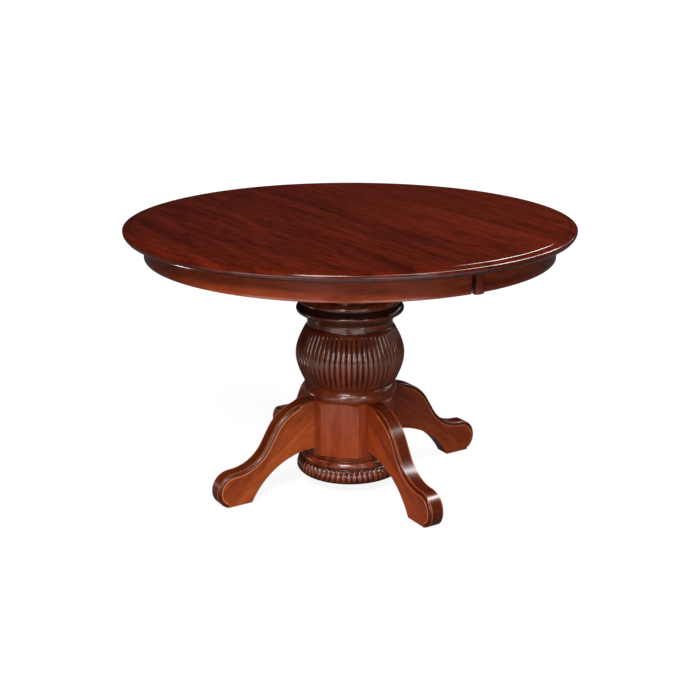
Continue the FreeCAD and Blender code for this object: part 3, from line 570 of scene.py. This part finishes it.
warm_boards = ((0.130, 0.0145, 0.0034), (0.430, 0.0850, 0.0185))
# Painted shade: the front and right legs, whose seen sides lie in shade, get a darker, redder copy of the
# wood.
red_boards_as_shade = ((0.120, 0.0115, 0.0026), (0.360, 0.0560, 0.0110))
leg_boards = (
    ("leg_right", red_boards_as_shade),
    ("leg_back", warm_boards),
    ("leg_left", warm_boards),
    ("leg_front", red_boards_as_shade),
)
leg_shift = 1.7
leg_gloss = 0.23
leg_joint = 0.3
leg_contrast = 0.85
for quarter, (leg_name, (leg_deep, leg_pale)) in enumerate(leg_boards):
    leg_wood = stained_wood(
        leg_name + "_wood", leg_deep, leg_pale, leg_fibre, leg_shift * quarter, leg_gloss,
        joint=leg_joint, contrast=leg_contrast,
    )
    leg = add_piece(leg_name + "_moulded", leg_shape(), leg_wood, "pedestal", leg_name)
    leg.matrix_world = Matrix.Rotation(math.pi / 2 * quarter, 4, "Z")


# Bolts, nuts, washers, screws and glides
# Bright zinc-plated steel, bought in. The rod clamps the column from the plate to the block, bolts draw the
# legs to the block and the plate to the post, screws hold the base ring, and the glides are nailed on.

def mottled_metal(name, colour, roughness):
    """Plated or machined metal with faint cloudy wear and fine scratches."""
    finish, shader, place = new_finish(name)
    x, y, z = place.parts()
    clouds = place.noise(x * 60.0, y * 60.0, z * 60.0, 3.0)
    scratches = place.noise(x * 900.0, y * 900.0, z * 40.0, 1.0)
    dull = tinted(colour, 0.6, 0.6, 0.6)
    clouds.mix(dull, (*colour, 1.0)).feed(shader, "Base Color")
    (clouds * 0.2 + scratches * 0.15 + (roughness - 0.17)).feed(shader, "Roughness")
    lift = place.node("ShaderNodeBump", {}, {"Strength": 0.1, "Distance": 0.0002, "Height": scratches})
    lift.feed(shader, "Normal")
    shader.inputs["Metallic"].default_value = 1.0
    return finish


def finish_nodes(finish, *names):
    """Gives a finish to nodes of the frame whose own shape shows."""
    for name in names:
        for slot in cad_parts[name].material_slots:
            slot.material = finish


zinc_colour = (0.62, 0.62, 0.61)
zinc_roughness = 0.34
zinc = mottled_metal("zinc_plate", zinc_colour, zinc_roughness)
finish_nodes(
    zinc, "tie_rod", "tie_rod_nuts", "tie_rod_washers", "leg_bolts", "leg_bolt_nuts", "leg_bolt_washers",
    "plate_bolts", "base_ring_screws", "foot_glides",
)


# Collar ring
# A turned ring that caps the leg block. It swells gently and draws in to the top, where the bulb stands, and
# is stained like the bulb.

collar_low, collar_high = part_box("collar_ring")
turned_steps = 240
collar_foot = 0.1310
collar_top = 0.1245
collar_swell = 0.0042
collar_outline = turned_outline([
    (rod_hole, collar_low.z),
    (collar_foot, collar_low.z),
    (collar_top, collar_high.z, collar_swell),
    (rod_hole, collar_high.z),
], rub=0.0)
collar_shape = ring_stack(round_rings(collar_outline, turned_steps), even_turns(turned_steps))
add_piece("collar_ring_turned", collar_shape, turned_wood, "pedestal", "collar_ring")


# Reeded bulb
# The swelling middle of the column, turned and then carved with sixty round reeds that run out below the
# shoulder. Dark glaze stays in the grooves, and the crests are rubbed back and partly painted paler as a
# highlight, most of all round the belly.

bulb_low, bulb_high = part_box("reeded_bulb")
reeds = 60
reed_steps = 10
reed_rows = 54
reed_height = 0.148
reed_depth = 0.0034
reed_tip = 0.02
reed_rub = 0.25
# The crests are rubbed and partly painted paler as a highlight, most of all round the belly.
belly_rub_and_highlight = 0.6
groove_glaze = 0.8
bulb_radius = 0.1525
bulb_foot_radius = 0.1315
bulb_top_radius = 0.126
bulb_widest = 0.071
bulb_run = 0.004
cove_radius = 0.125
cove_height = 0.009
cove_hollow = 0.0011
shoulder_hollow = 0.0008
neck_radius = 0.1195
neck_height = 0.0165
reed_foot = bulb_low.z + cove_height


def bulb_swell(height):
    """Radius over the crests of the reeds, at a height above their foot."""
    if height < bulb_widest:
        swell = math.cos(math.pi / 2 * (bulb_widest - height) / bulb_widest)
        return bulb_foot_radius + (bulb_radius - bulb_foot_radius) * swell
    swell = math.cos(math.pi / 2 * (height - bulb_widest) / (reed_height - bulb_widest))
    return bulb_top_radius + (bulb_radius - bulb_top_radius) * swell


def reed_row(height):
    """One ring through the reeds: round lobes, with grooves that run out at both ends of the carving."""
    end = min(height, reed_height - height)
    tip = max(0.0, 1 - end / reed_tip)
    depth = reed_depth * math.sqrt(max(0.0, 1 - tip ** 2))
    crest = bulb_swell(height)
    proud = (crest - bulb_top_radius) / (bulb_radius - bulb_top_radius)
    rubbed_and_highlight = reed_rub + belly_rub_and_highlight * proud ** 3
    radii = []
    worn_and_painted_light = []
    for step in range(reeds * reed_steps):
        place = abs(2 * (step % reed_steps) / reed_steps - 1)
        rise = math.sqrt(1 - min(1.0, place) ** 2)
        radii.append(crest - depth * (1 - rise))
        worn_and_painted_light.append((rubbed_and_highlight * rise ** 4 - groove_glaze * (1 - rise ** 2)) * depth / reed_depth)
    return [reed_foot + height] * len(radii), radii, worn_and_painted_light


bulb_turns = even_turns(reeds * reed_steps)
cove_outline = turned_outline([
    (rod_hole, bulb_low.z),
    (cove_radius, bulb_low.z),
    (bulb_foot_radius, reed_foot, -cove_hollow),
], run=bulb_run)
shoulder_outline = turned_outline([
    (bulb_top_radius, reed_foot + reed_height),
    (neck_radius, bulb_high.z - neck_height, -shoulder_hollow),
    (neck_radius, bulb_high.z),
    (rod_hole, bulb_high.z),
], run=bulb_run)
bulb_rings = round_rings(cove_outline[:-1], len(bulb_turns))
bulb_rings += [reed_row(reed_height * row / (reed_rows - 1)) for row in range(reed_rows)]
bulb_rings += round_rings(shoulder_outline[1:], len(bulb_turns))
bulb_shape = ring_stack(bulb_rings, bulb_turns)
add_piece(
    "reeded_bulb_carved", bulb_shape, turned_wood, "pedestal", "reeded_bulb", carved_sharp,
)


# Column cap
# The turned cap over the neck: a bead above a bold roll that draws in to the neck. It is stained like the
# bulb and clamped down with it by the rod inside. It is painted darker as shade under the top, and the
# roll's upward slope darker still, as painted shade and a dark reflection.

cap_low, cap_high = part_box("column_cap")
cap_neck = 0.0035
roll_low_radius = 0.1465
roll_low = 0.0215
roll_low_swell = 0.0011
roll_radius = 0.150
roll_widest = 0.031
roll_swell = 0.0015
bead_height = 0.020
bead_foot_radius = 0.139
bead_top_radius = 0.134
bead_swell = 0.005
roll_top = cap_high.z - bead_height
cap_rub = 0.1
# Painted shade: the cap is darkened under the top, and its roll's upward slope darker still.
cap_painted_shade = -0.35
slope_painted_shade = -0.85
slope_low = cap_low.z + 0.0315
cap_outline = turned_outline([
    (rod_hole, cap_low.z),
    (neck_radius, cap_low.z),
    (neck_radius, cap_low.z + cap_neck),
    (roll_low_radius, cap_low.z + roll_low),
    (roll_radius, cap_low.z + roll_widest, roll_low_swell),
    (bead_foot_radius, roll_top, roll_swell),
    (bead_top_radius, cap_high.z, bead_swell),
    (rod_hole, cap_high.z),
], rub=cap_rub)
cap_outline = [
    (radius, height, slope_painted_shade if slope_low < height < roll_top else worn_and_painted_light + cap_painted_shade)
    for radius, height, worn_and_painted_light in cap_outline
]
cap_shape = ring_stack(round_rings(cap_outline, turned_steps), even_turns(turned_steps))
add_piece("column_cap_turned", cap_shape, turned_wood, "pedestal", "column_cap")


# Post, mounting plate and glue blocks
# The turned post is stained like the column. The plate on it, which carries the slides, and the blocks glued
# into the corner between apron and top hardly show, and are plain sanded wood.

def sanded_wood(name, deep, pale, fibre, shift=0.0):
    """Bare or thinly sealed wood: open grain, matt, a little dusty."""
    finish, shader, place = new_finish(name)
    across, through, along = fibre(*place.parts())
    along = along + shift
    figure = place.noise(across * 14.0, through * 14.0, along * 1.8, 3.0)
    fibres = place.noise(across * 500.0, through * 500.0, along * 14.0, 2.0)
    pores = fibres.between(0.58, 0.72)
    (figure * 0.9 + fibres * 0.4 - 0.15).mix((*deep, 1.0), (*pale, 1.0)).feed(shader, "Base Color")
    (pores * 0.15 + 0.55).feed(shader, "Roughness")
    lift = place.node("ShaderNodeBump", {}, {"Strength": 0.25, "Distance": 0.0003, "Height": 1 - pores})
    lift.feed(shader, "Normal")
    return finish


def long_fibre(x, y, z):
    """Grain that runs the way the halves of the top slide."""
    return y, z, x


plate_deep = (0.22, 0.115, 0.05)
plate_pale = (0.42, 0.255, 0.13)
plate_wood = sanded_wood("plate_wood", plate_deep, plate_pale, long_fibre)
finish_nodes(turned_wood, "upper_column")
finish_nodes(plate_wood, "mounting_plate", "left_glue_blocks", "right_glue_blocks")


# Slides
# Planed pale hardwood rails, waxed where they run. The fixed centre rails are screwed to the plate, and a
# moving rail on each side of them is screwed under its half of the top.

rail_deep = (0.40, 0.255, 0.12)
rail_pale = (0.64, 0.46, 0.265)
rail_shift = 2.3
rail_wood = sanded_wood("rail_wood", rail_deep, rail_pale, long_fibre, rail_shift)
finish_nodes(
    rail_wood, "centre_rail_front", "centre_rail_rear", "left_rail_front", "left_rail_rear",
    "right_rail_front", "right_rail_rear",
)
finish_nodes(zinc, "centre_rail_screws", "left_rail_screws", "right_rail_screws", "pinion_axles")


# Racks and pinions
# Machined steel, lightly oiled. The racks lie in their rails and the pinion between them makes both halves
# of the top move alike.

steel_colour = (0.44, 0.43, 0.42)
steel_roughness = 0.3
oiled_steel = mottled_metal("oiled_steel", steel_colour, steel_roughness)
finish_nodes(oiled_steel, "left_racks", "right_racks", "pinion_front", "pinion_rear")


# Aprons
# Bent hardwood bands under the rim of the top, with the grain running round them. The left band ends at the
# seam and the right band ends at its upright seam blocks.

apron_left_low, apron_left_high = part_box("apron_left")
apron_right_low, apron_right_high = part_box("apron_right")
apron_radius = apron_right_high.x
apron_thickness = 0.020
apron_inside = apron_radius - apron_thickness
apron_low = apron_left_low.z
apron_high = apron_left_high.z
apron_section_start = apron_high - 0.01
apron_ease = 0.0012
apron_run = 0.01
apron_rub = 0.2
apron_end_step = 0.0006
apron_steps = 180


def half_turn(outline, start, side, steps, edge):
    """Rows of points that carry a section round half the table, cut off square at a distance from the seam.
    The first and last step of a row are short, to keep the edge at the seam crisp."""
    rows = []
    for radius, height, worn_and_painted_light in outline:
        reach = math.acos(start / radius)
        inner = reach - edge / radius
        turns = [inner * (2 * step / (steps - 2) - 1) for step in range(steps - 1)]
        row = []
        for turn in [-reach] + turns + [reach]:
            row.append((side * radius * math.cos(turn), radius * math.sin(turn), height))
        rows.append(row)
    return rows


def joined_rows(rows, closed):
    """Faces between rows of points, and between the last and the first where the section is closed."""
    faces = []
    around = len(rows[0])
    for row in range(len(rows) if closed else len(rows) - 1):
        above = (row + 1) % len(rows) * around
        for step in range(around - 1):
            faces.append((row * around + step, row * around + step + 1, above + step + 1, above + step))
    return faces


def apron_shape(start, side):
    """Half of the apron, cut off at a distance from the seam and closed at both ends."""
    outline = turned_outline([
        (apron_inside, apron_section_start),
        (apron_inside, apron_low),
        (apron_radius, apron_low),
        (apron_radius, apron_high),
        (apron_inside, apron_high),
    ], apron_ease, apron_run, apron_rub)
    rows = half_turn(outline, start, side, apron_steps, apron_end_step)
    around = apron_steps + 1
    faces = joined_rows(rows, True)
    faces.append([row * around for row in range(len(rows))])
    faces.append([row * around + apron_steps for row in range(len(rows))])
    points = [point for row in rows for point in row]
    wear_and_painted_light = [worn_and_painted_light for radius, height, worn_and_painted_light in outline for step in range(around)]
    return points, faces, wear_and_painted_light


def bent_fibre(x, y, z):
    """Grain that runs round the table, with its start at the rear seam."""
    mean_radius = 0.55
    through_share = 0.02
    turn = x.math("ARCTAN2", y * -1.0)
    return z, x * through_share, turn * mean_radius


apron_deep = (0.090, 0.0105, 0.0032)
apron_pale = (0.300, 0.0470, 0.0125)
apron_wood = stained_wood("apron_wood", apron_deep, apron_pale, bent_fibre)
left_band = apron_shape(-apron_left_high.x, -1)
right_band = apron_shape(apron_right_low.x, 1)
add_piece("apron_left_bent", left_band, apron_wood, "left_half", "apron_left")
add_piece("apron_right_bent", right_band, apron_wood, "right_half", "apron_right")


# Seam blocks
# Small upright blocks of the aprons' wood, glued over the ends of the right apron, one at each end of the
# seam. Their edges are rounded over, and a painted shadow darkens the face that meets the left apron.

seam_round = 0.0016
seam_shift = 0.6
seam_face_depth = 0.001
# Painted shadow on the face of the block in the gap beside the left apron.
seam_face_painted_shadow = -0.7
seam_wood = stained_wood("seam_wood", apron_deep, apron_pale, upright_fibre, seam_shift)
for seam_name in ("seam_block_front", "seam_block_rear"):
    seam_low, seam_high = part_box(seam_name)
    work = bmesh.new()
    bmesh.ops.create_cube(work, size=1.0)
    bmesh.ops.scale(work, vec=seam_high - seam_low, verts=work.verts)
    bmesh.ops.translate(work, vec=(seam_low + seam_high) / 2, verts=work.verts)
    bmesh.ops.bevel(work, geom=work.edges[:], offset=seam_round, segments=3, profile=0.5, affect="EDGES")
    work.verts.index_update()
    seam_points = [tuple(vert.co) for vert in work.verts]
    seam_faces = [[vert.index for vert in face.verts] for face in work.faces]
    work.free()
    seam_face = seam_low.x + seam_face_depth
    seam_block_shadow = [seam_face_painted_shadow if x < seam_face else 0.0 for x, y, z in seam_points]
    seam_shape = (seam_points, seam_faces, seam_block_shadow)
    add_piece(seam_name + "_rounded", seam_shape, seam_wood, "right_half", seam_name)


# Halves of the top
# Edge-glued boards that run along the seam, cut round and moulded at the rim: a soft quirk, a low dome, a
# tight round at the widest, and a round that draws in below. Stained darker than the base, in high gloss.

top_low, top_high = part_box("top_right")
rim_radius = top_high.x
rim_width = 0.020
flat_radius = rim_radius - rim_width
flat_margin = 0.006
inner_radius = flat_radius - flat_margin
quirk_width = 0.0031
quirk_drop = 0.0018
quirk_swell = 0.00032
quirk_glaze = 0.65
dome_swell = 0.0008
nose_width = 0.003
nose_drop = 0.0055
nose_swell = 0.0008
widest_drop = 0.0095
under_width = 0.0045
under_swell = 0.00126
bevel_width = 0.007
bevel_height = 0.003
rim_ease = 0.0012
rim_rub = 0.2
# Painted shade: the moulded rim is darkened so that it reads no brighter than the flat top.
rim_painted_shade = -0.25
rim_end_step = 0.003
seam_gap = 0.0003
seam_glaze = -1.1
top_steps = 360


def top_shape(side):
    """Half of the top: its rim carried round from one end of the seam to the other, and its flat faces."""
    outline = turned_outline([
        (inner_radius, top_low.z),
        (rim_radius - bevel_width, top_low.z),
        (rim_radius - under_width, top_low.z + bevel_height),
        (rim_radius, top_high.z - widest_drop, under_swell),
        (rim_radius - nose_width, top_high.z - nose_drop, nose_swell),
        (flat_radius, top_high.z - quirk_drop, dome_swell),
        (flat_radius - quirk_width, top_high.z, quirk_swell),
        (inner_radius, top_high.z),
    ], rim_ease, rub=rim_rub, glaze=quirk_glaze)
    rows = half_turn(outline, seam_gap / 2, side, top_steps, rim_end_step)
    around = top_steps + 1
    faces = joined_rows(rows, False)
    last = (len(rows) - 1) * around
    faces.append(list(range(around)))
    faces.append(list(range(last, last + around)))
    near = [row * around for row in range(len(rows))]
    far = [row * around + top_steps for row in reversed(range(len(rows)))]
    faces.append(near + far)
    points = [point for row in rows for point in row]
    wear_and_painted_light = []
    for radius, height, worn_and_painted_light in outline:
        on_rim = radius > flat_radius
        tone = min(worn_and_painted_light, rim_painted_shade) if on_rim else worn_and_painted_light
        end_tone = seam_glaze if on_rim else worn_and_painted_light
        wear_and_painted_light += [end_tone] + [tone] * (around - 2) + [end_tone]
    return points, faces, wear_and_painted_light


def board_fibre(x, y, z):
    """Grain that runs along the seam."""
    return x, z, y


top_deep = (0.040, 0.0034, 0.0011)
top_pale = (0.155, 0.0160, 0.0044)
top_gloss = 0.14
board_width = 0.122
for half, side, shift in (("left", -1, 0.37), ("right", 1, 4.61)):
    top_wood = stained_wood(
        half + "_top_wood", top_deep, top_pale, board_fibre, shift, top_gloss, board_width,
    )
    top_half = top_shape(side)
    add_piece("top_" + half + "_boards", top_half, top_wood, half + "_half", "top_" + half)


# Alignment pins and swivel locks
# Turned brass pins in the seam keep the halves level. Plated steel swivel hooks, screwed under the top, hold
# them shut.

brass_colour = (0.72, 0.53, 0.23)
brass_roughness = 0.28
brass = mottled_metal("turned_brass", brass_colour, brass_roughness)
finish_nodes(brass, "alignment_pins")
finish_nodes(zinc, "latch_plates", "latch_pivots", "latch_keepers", "latch_lever_front", "latch_lever_rear")


# Studio floor and surroundings
# A pale painted sweep that curves up to a low wall. Seen straight it is white from afar, with a share of
# shaded paint close by for the table's shadow. Gloss sees it white only in a sheet before the table.

floor_eye = 0.001
floor_middle = 3.0
floor_radius = 9.0
wall_radius = 12.0
wall_height = 2.1
curve_height = 1.2
curve_parts = 12
floor_sides = 128
floor_outline = [(floor_eye, 0.0), (floor_middle, 0.0), (floor_radius, 0.0)]
for part in range(1, curve_parts + 1):
    turn = math.pi / 2 * part / curve_parts
    out = floor_radius + (wall_radius - floor_radius) * math.sin(turn)
    floor_outline.append((out, curve_height * (1 - math.cos(turn))))
floor_outline.append((wall_radius, wall_height))
floor_points = []
floor_faces = []
for row, (radius, height) in enumerate(floor_outline):
    for step, turn in enumerate(even_turns(floor_sides)):
        floor_points.append((radius * math.cos(turn), radius * math.sin(turn), height))
        if row:
            here = row * floor_sides + step
            beside = row * floor_sides + (step + 1) % floor_sides
            floor_faces.append((here - floor_sides, beside - floor_sides, beside, here))
floor_mesh = bpy.data.meshes.new("studio_floor")
floor_mesh.from_pydata(floor_points, [], floor_faces)
floor_mesh.shade_smooth()
floor = bpy.data.objects.new("studio_floor", floor_mesh)
bpy.context.scene.collection.objects.link(floor)

white_colour = (1.0, 1.0, 1.0, 1.0)
seen_paint = (0.8, 0.8, 0.8, 1.0)
unseen_paint = (0.12, 0.12, 0.12, 1.0)
floor_glow = 1.12
near_white = 0.8
near_distance = 0.9
far_distance = 2.6
front_x = -0.529
front_y = -0.849
sheet_start = 0.38
sheet_whole = 0.8
sheet_fading = 1.5
sheet_end = 2.2
sheet_white = 0.8
floor_finish, plain_shader, floor_place = new_finish("studio_floor")
floor_finish.node_tree.nodes.remove(plain_shader)
camera_ray = floor_place.node("ShaderNodeLightPath", {}, {}, "Is Camera Ray")
glossy_ray = floor_place.node("ShaderNodeLightPath", {}, {}, "Is Glossy Ray")
through_ray = floor_place.node("ShaderNodeLightPath", {}, {}, "Is Transmission Ray")
floor_x, floor_y = floor_place.parts()[:2]
before = floor_x * front_x + floor_y * front_y
distance = floor_place.node("ShaderNodeVectorMath", {"operation": "LENGTH"}, {0: floor_place}, "Value")
sheet = before.between(sheet_start, sheet_whole) * distance.between(sheet_end, sheet_fading)
seen_white = distance.between(near_distance, far_distance) * (1 - near_white) + near_white
gloss_white = glossy_ray.math("MAXIMUM", through_ray) * sheet * sheet_white
white_share = camera_ray * seen_white + gloss_white
paint_colour = camera_ray.mix(unseen_paint, seen_paint)
paint = floor_place.node("ShaderNodeBsdfDiffuse", {}, {"Color": paint_colour})
white = floor_place.node("ShaderNodeEmission", {}, {"Color": white_colour, "Strength": floor_glow})
surface = floor_place.node("ShaderNodeMixShader", {}, {0: white_share, 1: paint, 2: white})
surface.feed(floor_finish.node_tree.nodes["Material Output"], "Surface")
floor_mesh.materials.append(floor_finish)

sky_light = 0.012
world = bpy.data.worlds.new("dim_studio")
world.use_nodes = True
world_nodes = world.node_tree.nodes
seen = Signal(world.node_tree, world_nodes.new("ShaderNodeLightPath").outputs["Is Camera Ray"])
dim = seen.node("ShaderNodeBackground", {}, {"Color": white_colour, "Strength": sky_light})
pale = seen.node("ShaderNodeBackground", {}, {"Color": white_colour, "Strength": 1.0})
sky = seen.node("ShaderNodeMixShader", {}, {0: seen, 1: dim, 2: pale})
sky.feed(world_nodes["World Output"], "Surface")
bpy.context.scene.world = world


# Studio lamps
# Soft boxes and cards that face the table. The boxes light it, those at the back without a gleam in the
# lacquer. The strips, cards and bounces show only as gleams and light nothing.

lamp_aim = Vector((0.0, 0.0, 0.45))


def from_table(azimuth, elevation, distance):
    """A place round the table: azimuth 0 is in front along -Y, as the view's azimuth counts."""
    flat = distance * math.cos(elevation)
    return Vector((flat * math.sin(azimuth), -flat * math.cos(azimuth), distance * math.sin(elevation)))


def soft_box(name, azimuth, elevation, distance, width, height, power, lights=True, gleams=True):
    """A flat lamp that faces the table, placed by angles in degrees and a distance. Sizes are in metres."""
    lamp = bpy.data.lights.new(name, "AREA")
    lamp.shape = "RECTANGLE"
    lamp.size = width
    lamp.size_y = height
    lamp.energy = power
    box = bpy.data.objects.new(name, lamp)
    box.location = lamp_aim + from_table(math.radians(azimuth), math.radians(elevation), distance)
    box.rotation_mode = "QUATERNION"
    box.rotation_quaternion = (box.location - lamp_aim).to_track_quat("Z", "Y")
    box.visible_diffuse = lights
    box.visible_glossy = gleams
    box.visible_camera = False
    bpy.context.scene.collection.objects.link(box)


soft_box("key_box", -46.0, 40.0, 3.6, 1.2, 0.9, 138.0)
soft_box("right_box", 57.0, 50.0, 2.9, 0.8, 0.8, 42.0)
soft_box("low_left_box", -47.0, 8.0, 3.9, 0.7, 0.8, 34.0)
soft_box("low_right_box", 0.7, 6.0, 3.9, 0.6, 0.6, 20.0)
soft_box("back_left_box", -172.0, 28.0, 3.4, 1.0, 0.8, 32.0, gleams=False)
soft_box("back_right_box", 105.0, 28.0, 3.4, 1.0, 0.8, 32.0, gleams=False)
soft_box("front_strip", -35.0, 9.0, 3.8, 4.2, 0.45, 14.0, lights=False)
soft_box("reed_strip", -35.0, 19.0, 3.8, 2.4, 0.2, 38.0, lights=False)
soft_box("right_strip", 82.0, 14.0, 3.6, 3.2, 0.25, 9.0, lights=False)
soft_box("right_card", 50.0, 34.0, 2.9, 0.8, 0.6, 3.5, lights=False)
soft_box("high_front_card", 15.0, 50.0, 3.0, 2.0, 0.7, 75.0, lights=False)
soft_box("high_right_card", 72.0, 44.0, 3.0, 1.1, 0.7, 50.0, lights=False)
soft_box("side_card", 86.0, 31.0, 3.0, 0.6, 0.7, 26.0, lights=False)
soft_box("bounce_left", -62.0, -12.0, 1.55, 1.1, 0.18, 2.6, lights=False)
soft_box("bounce_front", -12.0, -12.0, 1.5, 0.8, 0.18, 2.0, lights=False)
soft_box("toe_card", -129.3, -23.4, 0.93, 0.12, 0.10, 0.35, lights=False)


# View
# The camera of the photograph, as fitted to the table's rim, column and feet. It looks at the axis of the
# column, with no roll and no shift.

view_azimuth = math.radians(-31.93)
view_elevation = math.radians(17.41)
view_distance = 3.4436
view_target = Vector((0.0, 0.0, 0.380))
sensor = 36.0
focal_pixels = 1228.0
picture_pixels = 700.0
camera = bpy.data.objects.new("camera", bpy.data.cameras.new("camera"))
camera.data.sensor_width = sensor
camera.data.lens = focal_pixels * sensor / picture_pixels
camera.location = view_target + from_table(view_azimuth, view_elevation, view_distance)
camera.rotation_mode = "QUATERNION"
camera.rotation_quaternion = (camera.location - view_target).to_track_quat("Z", "Y")
bpy.context.scene.collection.objects.link(camera)
bpy.context.scene.camera = camera
bpy.context.scene.view_settings.view_transform = "Standard"
